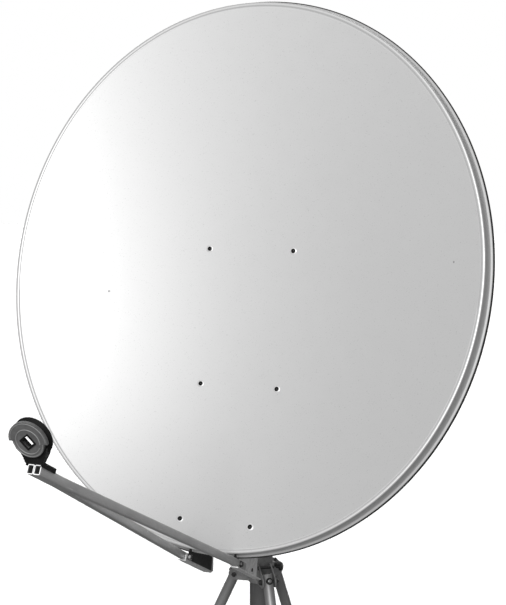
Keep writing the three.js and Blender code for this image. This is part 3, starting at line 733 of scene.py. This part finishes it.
def add_face_bolts():
    """Button heads in pressed seats, with a socket each and a flanged nut behind. The seats' lighter paint is a
    painted highlight round each head.
    """
    seat_profile = smooth_line(mm((0, 0.7), (5.6, 0.9), (7, 0.5), (8.4, -0.2), (8.0, -1), (0, -1)), 3)
    dome_profile = mm((0, 4.4), (1.6, 4.3), (3.2, 3.7), (4.4, 2.6), (5.1, 1.2), (5.2, 0.6), (0, 0.6))
    backward = Matrix.Rotation(math.pi, 4, "X")
    for row, height in FACE_BOLT_ROWS.items():
        for side, sign in SIDES.items():
            place = DISH @ on_bowl(sign * (web_outer(height) + BOLT_FROM_WEB), height)
            name = f"face_bolt_{row}_{side}"
            piece(f"{name}_seat", lathe(seat_profile, 48), SEAT_HIGHLIGHT_PAINT, "dish", place)
            head = carved(lathe(dome_profile, 48), extrude([circle(1.7 * MM, 6)], 2.6 * MM, 8 * MM))
            shank = moved(threaded_rod(3 * MM, -1 * MM, 17 * MM, 1 * MM), backward)
            piece(f"{name}_bolt", joined(head, shank), BLACK_BOLT, "dish", place, [name])
            nut = joined(
                hexagon_solid(10 * MM, -12.6 * MM, -7.6 * MM, 3 * MM, False, True),
                ring(8 * MM, 3 * MM, -7.6 * MM, -6.4 * MM, 0.2 * MM, 40),
            )
            piece(f"{name}_nut", nut, ZINC, "dish", place)


def add_paint_nibs():
    """Two small raised nibs in the bowl's paint."""
    for index, (x, height) in enumerate(PAINT_NIBS):
        nib = lathe(mm((0, 0.5), (1.2, 0.4), (2.4, 0.1), (2.9, -0.4), (0, -0.4)), 32)
        place = DISH @ on_bowl(x, height)
        piece(f"reflector_nib_{index + 1}", nib, WORN_PAINT, "dish", place)


# ------------------------------ ribs, tie plate and elevation head


def add_frame_sheets():
    """The bent sheets behind the dish, whose own CAD shapes are kept."""
    for side in SIDES:
        refined(f"rib_{side}", SHEET, DISH, 0.6 * MM)
    refined("tie_plate", SHEET, DISH, 0.6 * MM)
    refined("head_bracket", SHEET, None, 0.7 * MM)
    for row in ("upper", "lower"):
        refined(f"saddle_{row}", SHEET, None, 0.8 * MM)


def add_u_bolt(row):
    """A bar bent round the mast, its two threaded ends, and a flanged nut on each."""
    low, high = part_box(f"u_bolt_{row}")
    z = (low.z + high.z) / 2
    radius = (high.z - low.z) / 2
    bend = (high.x - low.x) / 2 - radius
    front = low.y
    thread_end = front + 24 * MM
    path = [(-bend, thread_end, z)]
    path += [(-bend * math.cos(a), MAST_Y + bend * math.sin(a), z) for a in np.linspace(0, math.pi, 40)]
    path.append((bend, thread_end, z))
    bar = sweep([circle(radius, 24)], path, (0, 0, 1))
    ends = []
    for x in (-bend, bend):
        rod = threaded_rod(radius, -1 * MM, thread_end - front, 1.25 * MM)
        ends.append(moved(rod, along((x, thread_end, z), (0, -1, 0))))
    piece(f"u_bolt_{row}_bar", joined(bar, *ends), ZINC, "head", None, [f"u_bolt_{row}"])
    for side in SIDES:
        node = f"u_bolt_nut_{row}_{side}"
        low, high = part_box(node)
        centre = (low + high) / 2
        place = along((centre.x, high.y, centre.z), (0, -1, 0))
        depth = high.y - low.y
        nut = joined(
            ring(8.2 * MM, radius, 0, 1.2 * MM, 0.2 * MM, 40),
            hexagon_solid(13 * MM, 1.2 * MM, depth, radius, True, True),
        )
        piece(f"{node}_hex", nut, ZINC, "head", place, [node])


def add_pivot():
    """The long bolt that the dish tips about, its threaded end and its nut."""
    low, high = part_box("pivot_bolt")
    nut_low, nut_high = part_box("pivot_nut")
    flats = 18.7 * MM
    head = 7.5 * MM
    seat = high.x - head
    at_nut = along((nut_high.x, PIVOT.y, PIVOT.z), (-1, 0, 0))
    bolt = joined(
        hexagon_solid(flats, 0, head),
        ring(12 * MM, 5.5 * MM, -0.3 * MM, 0.9 * MM, 0.2 * MM),
        disc(6 * MM, -(seat - nut_high.x), 0.5 * MM, 0.2 * MM, 40),
    )
    place = along((seat, PIVOT.y, PIVOT.z), (1, 0, 0))
    piece("pivot_bolt_hex", bolt, ZINC, "head", place, ["pivot_bolt"])
    end = threaded_rod(6 * MM, 0, nut_high.x - low.x, 1.75 * MM)
    piece("pivot_bolt_thread", end, ZINC, "head", at_nut)
    nut = joined(
        ring(12 * MM, 6 * MM, 0, 1.2 * MM, 0.2 * MM),
        hexagon_solid(flats, 1.2 * MM, nut_high.x - nut_low.x, 6 * MM, True, True),
    )
    piece("pivot_nut_hex", nut, ZINC, "head", at_nut, ["pivot_nut"])


def add_lock_bolts():
    """The bolts that hold the elevation, each in a nut welded inside its cheek."""
    head = 6.4 * MM
    cheek_inner = 57.5 * MM
    for side, sign in SIDES.items():
        node = f"lock_bolt_{side}"
        low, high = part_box(node)
        centre = (low + high) / 2
        outer, inner = (high.x, low.x) if sign > 0 else (low.x, high.x)
        seat = outer - sign * head
        bolt = joined(
            hexagon_solid(15.9 * MM, 0, head),
            disc(4.8 * MM, -abs(seat - inner), 0.5 * MM, 0.3 * MM, 32),
        )
        place = along((seat, centre.y, centre.z), (sign, 0, 0))
        piece(f"{node}_hex", bolt, ZINC, "head", place, [node])
        place = along((sign * cheek_inner, centre.y, centre.z), (-sign, 0, 0))
        nut = hexagon_solid(14 * MM, 0, 7 * MM, 4.9 * MM)
        piece(f"{node}_weld_nut", nut, ZINC, "head", place)


# ------------------------------ feed arms

ARM_WIDTH, ARM_HEIGHT, ARM_WALL = 12 * MM, 16 * MM, 1.5 * MM
ARM_TIP_X, ARM_ROOT_X = 6.3 * MM, 61.8 * MM
ARM_SPLAY, ARM_ROOT, ARM_LENGTH = 0.085, 0.756, 0.806
ARM_BOLT = 0.772
FOOT_SCREW = 0.026
ARM_BEND_REACH = 14 * MM
EAR_INNER_X = 52.2 * MM
TO_DISH = DISH.inverted() @ ARMS
EAR_HOLE = TO_DISH @ Vector((0, 0.882, 0.0051))

# The dark pad of painted shade on an ear's inner face: its front edge in the arms' frame, the depth in
# the dish's frame where it ends, and how far its back and its face lie inside the rib's outer face.
SHADE_FRONT_EDGE = [(0.764, -0.006), (0.764, 0.004), (0.771, 0.026)]
SHADE_REAR_DEPTH = 0.144
SHADE_BACK_INSET, SHADE_FACE_INSET = 2.6 * MM, 3.7 * MM


def rounded_path(corners, reach, steps=8):
    """A line through corners, turned smoothly within reach of each inner one."""
    pts = [Vector(c) for c in corners]
    path = [pts[0]]
    for before, corner, after in zip(pts, pts[1:], pts[2:]):
        start = corner + (before - corner).normalized() * reach
        end = corner + (after - corner).normalized() * reach
        for i in range(steps + 1):
            t = i / steps
            path.append(start * (1 - t) ** 2 + corner * (2 * t * (1 - t)) + end * t * t)
    return path + [pts[-1]]


def tube_sections(clearance, outer_radius, inner_radius):
    """The arm's outline and bore, drawn into the wall so that a piece between them is thinner than
    the wall by clearance."""
    bore = (ARM_HEIGHT - 2 * ARM_WALL, ARM_WIDTH - 2 * ARM_WALL)
    return [
        rounded_rectangle(ARM_HEIGHT - clearance, ARM_WIDTH - clearance, outer_radius),
        rounded_rectangle(bore[0] + clearance, bore[1] + clearance, inner_radius),
    ]


def add_arm(side, sign):
    """A bent rectangular tube, its bolt and nut, and the bare cut and the stopper at its tip; the cut's near-white
    tone is a painted highlight.
    """
    tip_x, root_x = sign * ARM_TIP_X, sign * ARM_ROOT_X
    place = ARMS @ UPRIGHT.inverted()
    corners = [(tip_x, 0, 0), (tip_x, ARM_SPLAY, 0), (root_x, ARM_ROOT, 0), (root_x, ARM_LENGTH, 0)]
    path = rounded_path(corners, ARM_BEND_REACH)
    tube = moved(sweep(tube_sections(0, 2.2 * MM, 0.9 * MM), path, (0, 0, 1)), UPRIGHT)
    piece(f"arm_{side}_tube", tube, ARM_STEEL, "dish", place, [f"arm_{side}"], sharp=40)
    bolt = joined(
        ring(6.9 * MM, 3.9 * MM, 0, 1.2 * MM, 0.3 * MM, 40),
        hexagon_solid(10 * MM, 1.2 * MM, 5.2 * MM),
        disc(4 * MM, -23 * MM, 1.5 * MM, 0.3 * MM, 32),
    )
    outside = ARMS @ along((sign * (ARM_ROOT_X + ARM_WIDTH / 2), ARM_BOLT, 0), (sign, 0, 0))
    piece(f"arm_bolt_{side}_hex", bolt, DARK_BOLT, "dish", outside, [f"arm_bolt_{side}"])
    nut = hexagon_solid(12.1 * MM, 0, 6 * MM, 4 * MM, True, True)
    inside = ARMS @ along((sign * EAR_INNER_X, ARM_BOLT, 0), (-sign, 0, 0))
    piece(f"arm_bolt_{side}_nut", nut, ZINC, "dish", inside)
    path = [(tip_x, -0.15 * MM, 0), (tip_x, 0.6 * MM, 0)]
    # The bare cut is near-white as a painted highlight.
    cut = moved(sweep(tube_sections(0.2 * MM, 2.1 * MM, 1 * MM), path, (0, 0, 1)), UPRIGHT)
    piece(f"arm_{side}_cut_end", cut, CUT_END_HIGHLIGHT, "dish", place)
    hollow = (ARM_WIDTH - 2 * ARM_WALL - 0.4 * MM, ARM_HEIGHT - 2 * ARM_WALL - 0.4 * MM)
    stopper = extrude([rounded_rectangle(*hollow, 0.8 * MM)], -12 * MM, -2.5 * MM)
    piece(f"arm_{side}_stopper", stopper, HOLDER_PLASTIC_AND_SHADE, "dish",
          ARMS @ Matrix.Translation((tip_x, 0, 0)) @ UPRIGHT)


def add_ear_plug(side, sign):
    """The domed plug in the spare hole of a rib's ear."""
    plug = lathe(mm((0, 1.5), (2.4, 1.3), (4.2, 0.5), (4.4, 0), (3.3, -0.1), (3.3, -4), (0, -4)), 40)
    x = sign * (web_outer(EAR_HOLE.z) + 0.1 * MM)
    place = DISH @ along((x, EAR_HOLE.y, EAR_HOLE.z), (sign, 0, 0))
    piece(f"ear_plug_{side}", plug, CAP_PLASTIC, "dish", place)


def add_shaded_ear_lining(side, sign):
    """A thin dark pad on the inner face of a rib's ear, round the arm bolt's nut: painted shade where the ear lies
    in shadow.
    """
    front = [TO_DISH @ Vector((0, *place)) for place in SHADE_FRONT_EDGE]
    run = TO_DISH.to_3x3() @ Vector((0, 1, 0))
    low, high = (p + run * ((SHADE_REAR_DEPTH - p.y) / run.y) for p in (front[0], front[-1]))
    corners = [*front, high, low]
    count = len(corners)
    points = [(sign * (web_outer(p.z) - inset), p.y, p.z) for inset in (SHADE_BACK_INSET, SHADE_FACE_INSET) for p in corners]
    faces = [tuple(range(count)), tuple(range(count, 2 * count)), *grid_faces(2, count, False, True)]
    piece(f"ear_painted_shade_{side}", mesh_of(points, faces), CAP_PLASTIC, "dish", DISH)


def add_foot_screw(side, sign):
    """A cross-recessed screw down through the feed holder's foot into the arm."""
    top = ARM_HEIGHT / 2 + 5.7 * MM
    head = lathe(mm((0, 2.2), (1.5, 2.1), (2.8, 1.5), (3.5, 0.4), (3.6, 0), (0, 0)), 32)
    slot = (4 * MM, 0.9 * MM)
    cross = joined(*(extrude([rounded_rectangle(*size, 0.2 * MM, 2)], 1.1 * MM, 5 * MM)
                     for size in (slot, slot[::-1])))
    screw = joined(carved(head, cross), threaded_rod(2 * MM, -10.8 * MM, 0.2 * MM, 0.8 * MM))
    place = ARMS @ Matrix.Translation((sign * ARM_TIP_X, FOOT_SCREW, top))
    piece(f"foot_screw_{side}_pan_head", screw, DARK_BOLT, "dish", place, [f"foot_screw_{side}"])


# ------------------------------ feed plate and holder

FEED_RADIUS, FEED_LUG = 28 * MM, 34.5 * MM
FEED_PLATE, FEED_COLLAR = 5 * MM, 10.4 * MM
FEED_WINDOW = 16.2 * MM
FEED_TWIST = 37.5


def turned_square(size):
    """A square with rounded corners, turned as the feed plate's window is."""
    turn = math.radians(FEED_TWIST)
    return [
        (x * math.cos(turn) - y * math.sin(turn), x * math.sin(turn) + y * math.cos(turn))
        for x, y in rounded_rectangle(size, size, 1.2 * MM, 4)
    ]


def bead_ring(radius, width, height, start, turn):
    """A raised rib along an arc of the plate's face."""
    steps = 96
    section = [(-width / 2, -0.6 * MM), (width / 2, -0.6 * MM), (width * 0.42, height * 0.6),
               (width * 0.2, height), (-width * 0.2, height), (-width * 0.42, height * 0.6)]
    count = len(section)
    points = []
    for i in range(steps + 1):
        angle = math.radians(start + turn * i / steps)
        points += [((radius + a) * math.cos(angle), (radius + a) * math.sin(angle), b) for a, b in section]
    faces = grid_faces(steps + 1, count, False, True)
    faces += [tuple(range(count)), tuple(range(steps * count, (steps + 1) * count))]
    return mesh_of(points, faces)


def add_feed_plate():
    """The turning plate, the collar round its window and the three raised ribs on its face. The collar's
    near-black is painted shade on the window's inner wall, and the ribs' lighter plastic is a painted highlight on
    their crests.
    """
    outline = circle(FEED_LUG, 96, (0, 0), -4, 185) + circle(FEED_RADIUS, 80, (0, 0), 181, 175)
    plate = extrude([outline, turned_square(FEED_WINDOW)], -FEED_PLATE, 0)
    window = [turned_square(FEED_WINDOW + 5 * MM), turned_square(FEED_WINDOW)]
    collar = extrude(window, -FEED_COLLAR, 1.6 * MM)
    piece("feed_plate_disc", plate, FEED_PLASTIC, "feed", FEED_FRONT, ["feed_plate"],
          0.7 * MM)
    piece("feed_plate_collar", collar, HOLDER_PLASTIC_AND_SHADE, "feed", FEED_FRONT, bevel=0.5 * MM)
    ribs = joined(
        bead_ring(21.3 * MM, 2.0 * MM, 1.1 * MM, -8, 342),
        bead_ring(26.2 * MM, 1.6 * MM, 0.8 * MM, 184, 170),
        bead_ring(31.8 * MM, 1.8 * MM, 0.8 * MM, 2, 174),
    )
    # The ribs' lighter plastic is a painted highlight.
    piece("feed_plate_ribs", ribs, RIB_HIGHLIGHT_PLASTIC, "feed", FEED_FRONT)


# ------------------------------ mast


def add_mast():
    """A 50 mm tube with a domed cap pressed into each end."""
    tube = ring(25 * MM, 23 * MM, mast_low.z, mast_high.z, 0.5 * MM, 96)
    piece("mast_tube", tube, MAST_STEEL, "mast", MAST_AXIS, ["mast"])
    dome = 4 * MM
    cap = mm((0, 4), (12, 3.8), (21, 3.0), (24.4, 1.9), (25, 1), (25, 0.2), (22.3, 0), (22.3, -15),
             (20.8, -16), (0, -16))
    rims = {"top": (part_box("mast_cap_top")[1].z - dome, 1),
            "bottom": (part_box("mast_cap_bottom")[0].z + dome, -1)}
    for end, (height, outward) in rims.items():
        place = along((MAST_X, MAST_Y, height), (0, 0, outward))
        piece(f"mast_cap_{end}_dome", lathe(cap, 72), CAP_PLASTIC, "mast", place,
              [f"mast_cap_{end}"])


# ------------------------------ tripod

EAR_INNER, EAR_SHEET, EAR_RADIUS = 13.2 * MM, 3 * MM, 14 * MM
SLEEVE_RADIUS = 29.5 * MM
STOP_PIN_RADIUS, STOP_PIN_RISE = 38.5 * MM, 27 * MM
LEG_RADIUS, LEG_BORE = 12.5 * MM, 10.9 * MM
LEG_END_HEIGHT = 0.020
BOLT_SEAT = 16.5 * MM
FOOT_RADIUS, FOOT_BORE = 17 * MM, 12.8 * MM
OUTWARD = Matrix.Rotation(math.pi / 2, 4, "Y")


def spoke(azimuth):
    """A frame on the mast's axis whose X points at a leg."""
    return MAST_AXIS @ Matrix.Rotation(math.radians(azimuth), 4, "Z")


def add_hub():
    """The sleeve, a pair of welded ears for each leg, and the boss of the thumb screw."""
    low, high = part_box("tripod_hub")
    sleeve = ring(SLEEVE_RADIUS, 25.6 * MM, low.z, high.z, 0.9 * MM, 96)
    piece("hub_sleeve", sleeve, CAST, "tripod", MAST_AXIS, ["tripod_hub"])
    ear_top = high.z - 16 * MM
    pivot = LEG_PIVOT_HEIGHT
    root = SLEEVE_RADIUS - 3 * MM
    outline = [(root, pivot - EAR_RADIUS)]
    outline += circle(EAR_RADIUS, 16, (LEG_PIVOT_RADIUS, pivot), -90, 155)
    outline += [(SLEEVE_RADIUS + 6 * MM, ear_top), (SLEEVE_RADIUS + 3 * MM, ear_top + 1.5 * MM)]
    outline.append((root, ear_top))
    holes = [circle(4.4 * MM, 24, (LEG_PIVOT_RADIUS, pivot)),
             circle(3.4 * MM, 20, (STOP_PIN_RADIUS, pivot + STOP_PIN_RISE))]
    for name, azimuth in LEG_AZIMUTHS.items():
        at_spoke = spoke(azimuth)
        for index, inner in enumerate((EAR_INNER, -EAR_INNER - EAR_SHEET)):
            ear = extrude([outline, *holes], inner, inner + EAR_SHEET)
            piece(f"hub_ear_{name}_{index + 1}", ear, CAST, "tripod",
                  at_spoke @ UPRIGHT, bevel=0.5 * MM)
            weld = weld_bead(inner + (EAR_SHEET, 0)[index], pivot - EAR_RADIUS, ear_top)
            piece(f"hub_weld_{name}_{index + 1}", weld, CAST, "tripod", at_spoke)
    boss = ring(9 * MM, 4.2 * MM, SLEEVE_RADIUS - 3 * MM, SLEEVE_RADIUS + 7 * MM, 0.7 * MM, 48)
    place = spoke(KNOB_AZIMUTH) @ Matrix.Translation((0, 0, KNOB_PLACE.z)) @ OUTWARD
    piece("hub_screw_boss", boss, CAST, "tripod", place)


def weld_bead(y, low, high):
    """A rippled fillet where an ear's face at y meets the sleeve."""
    reach = math.sqrt(SLEEVE_RADIUS ** 2 - y ** 2)
    steps, count = 60, 10
    points = []
    for i in range(steps + 1):
        size = 2.1 * MM + 0.35 * MM * math.sin(i * 1.9)
        if i in (0, steps):
            size *= 0.5
        points += [(x, side, low + (high - low) * i / steps)
                   for x, side in circle(size, count, (reach, y))]
    faces = grid_faces(steps + 1, count, False, True)
    faces += [tuple(range(count)), tuple(range(steps * count, (steps + 1) * count))]
    return mesh_of(points, faces)


def add_knob():
    """A small ribbed thumb screw that clamps the mast."""
    steps, ribs = 160, 10
    outline = []
    for i in range(steps):
        turn = 2 * math.pi * i / steps
        radius = (6.6 + 0.5 * math.cos(ribs * turn)) * MM
        outline.append((radius * math.cos(turn), radius * math.sin(turn)))
    at_knob = along(KNOB_PLACE, KNOB_AXIS)
    piece("clamp_knob_grip", extrude([outline], 3 * MM, 14 * MM), CAP_PLASTIC, "clamp_knob",
          at_knob, ["mast_clamp_knob"], 1.2 * MM, segments=4)
    neck = lathe(mm((0, 0.2), (4.4, 0.2), (4.8, 0.8), (5.2, 3.2), (0, 3.4)), 48)
    piece("clamp_knob_neck", neck, CAP_PLASTIC, "clamp_knob", at_knob)
    stud = threaded_rod(3.9 * MM, -0.5 * MM, 10.4 * MM, 1.25 * MM)
    piece("clamp_knob_stud", stud, ZINC, "clamp_knob", along(KNOB_PLACE, -KNOB_AXIS))


def add_leg(name, azimuth):
    """A tube with its foot and its screw, and the bolt, nut and stop pin that hold it in the hub."""
    body = f"{name}_leg"
    length = (LEG_PIVOT_HEIGHT - LEG_END_HEIGHT) / math.cos(LEG_SPLAY)
    at_pivot = spoke(azimuth) @ Matrix.Translation((LEG_PIVOT_RADIUS, 0, LEG_PIVOT_HEIGHT))
    at_leg = at_pivot @ Matrix.Rotation(-LEG_SPLAY, 4, "Y")
    tube = ring(LEG_RADIUS, LEG_BORE, -length, 17 * MM, 0.5 * MM, 64)
    piece(f"leg_{name}_tube", tube, LEG_STEEL, body, at_leg, [f"leg_{name}"])
    add_foot(name, body, length, at_leg)
    add_face_screw(name, body, at_leg)
    bolt = joined(
        ring(6.8 * MM, 4 * MM, -0.3 * MM, 1.2 * MM, 0.3 * MM, 40),
        hexagon_solid(10 * MM, 1.2 * MM, 5.3 * MM),
        disc(4 * MM, -2 * BOLT_SEAT - 1 * MM, 1.4 * MM, 0.3 * MM, 32),
    )
    head_side = at_pivot @ Matrix.Translation((0, -BOLT_SEAT, 0)) @ UPRIGHT
    piece(f"leg_bolt_{name}_hex", bolt, DARK_BOLT, "tripod", head_side, [f"leg_bolt_{name}"])
    nut_side = at_pivot @ Matrix.Translation((0, BOLT_SEAT, 0)) @ UPRIGHT.inverted()
    washer = ring(6.9 * MM, 4.1 * MM, -0.3 * MM, 1.2 * MM, 0.3 * MM, 40)
    piece(f"leg_washer_{name}", washer, ZINC, "tripod", nut_side)
    nut = joined(
        hexagon_solid(10 * MM, 1.2 * MM, 6.5 * MM, 4 * MM, True, True),
        threaded_rod(4 * MM, -1 * MM, 9.6 * MM, 1.25 * MM),
    )
    piece(f"leg_nut_{name}_hex", nut, DARK_BOLT, "tripod", nut_side, [f"leg_nut_{name}"])
    pin = joined(
        lathe(mm((0, 2.6), (2.5, 2.4), (4.4, 1.2), (5, 0), (0, 0)), 40),
        disc(3 * MM, -2 * BOLT_SEAT - 4.6 * MM, 0.5 * MM, 0.3 * MM, 32),
    )
    rise = LEG_PIVOT_HEIGHT + STOP_PIN_RISE
    at_pin = spoke(azimuth) @ Matrix.Translation((STOP_PIN_RADIUS, -BOLT_SEAT, rise)) @ UPRIGHT
    piece(f"stop_pin_{name}_rivet", pin, DARK_BOLT, "tripod", at_pin, [f"stop_pin_{name}"])


def add_face_screw(name, body, at_leg):
    """A hexagon screw on a moulded saddle, through the leg's outer side at its pivot."""
    place = at_leg @ Matrix.Translation((LEG_RADIUS, 0, 0)) @ OUTWARD
    saddle = ring(8.2 * MM, 2 * MM, -3.6 * MM, 1 * MM, 0.6 * MM, 48)
    piece(f"leg_saddle_{name}", saddle, CAP_PLASTIC, body, place)
    piece(f"leg_screw_{name}", hexagon_solid(8 * MM, 0.9 * MM, 4.4 * MM), ZINC, body, place)


def add_foot(name, body, length, at_leg):
    """A grooved rubber boot on the leg's end, cut flat where it stands on the ground."""
    outer, bore = FOOT_RADIUS, FOOT_BORE
    top, low = 34 * MM - length, -length - 40 * MM
    profile = [(0, low), (outer, low), (outer, top - 27 * MM)]
    for i in range(4):
        z = top - 25 * MM + i * 5 * MM
        groove = outer - 1.2 * MM
        profile += [(outer, z), (groove, z + 0.8 * MM), (groove, z + 2.2 * MM), (outer, z + 3 * MM)]
    profile += [(outer - 0.4 * MM, top - 1.4 * MM), (outer - 1.6 * MM, top), (bore + 0.6 * MM, top)]
    profile += [(bore, top - 0.8 * MM), (bore, -length), (0, -length)]
    mesh = moved(lathe(profile, 72), at_leg)
    bm = bmesh.new()
    bm.from_mesh(mesh)
    bpy.data.meshes.remove(mesh)
    cut = bmesh.ops.bisect_plane(bm, geom=bm.verts[:] + bm.edges[:] + bm.faces[:], plane_co=(0, 0, 0),
                                 plane_no=(0, 0, -1), clear_outer=True)
    bmesh.ops.edgeloop_fill(bm, edges=[e for e in cut["geom_cut"] if isinstance(e, bmesh.types.BMEdge)])
    mesh = finished(bm)
    mesh.transform(at_leg.inverted())
    piece(f"foot_{name}_boot", mesh, RUBBER, body, at_leg, [f"foot_{name}"])


# ------------------------------ the whole scene

add_camera()
add_studio()
add_floor()
add_reflector()
add_face_bolts()
add_paint_nibs()
add_frame_sheets()
for row in ("upper", "lower"):
    add_u_bolt(row)
add_pivot()
add_lock_bolts()
for side, sign in SIDES.items():
    add_arm(side, sign)
    add_ear_plug(side, sign)
    add_foot_screw(side, sign)
for side, sign in SIDES.items():
    add_shaded_ear_lining(side, sign)
add_feed_plate()
# The holder's black plastic is darkened further as painted shade in its cup.
refined("feed_holder", HOLDER_PLASTIC_AND_SHADE, FEED, 0.6 * MM, merge=False)
add_mast()
add_hub()
add_knob()
for leg_name, leg_azimuth in LEG_AZIMUTHS.items():
    add_leg(leg_name, leg_azimuth)
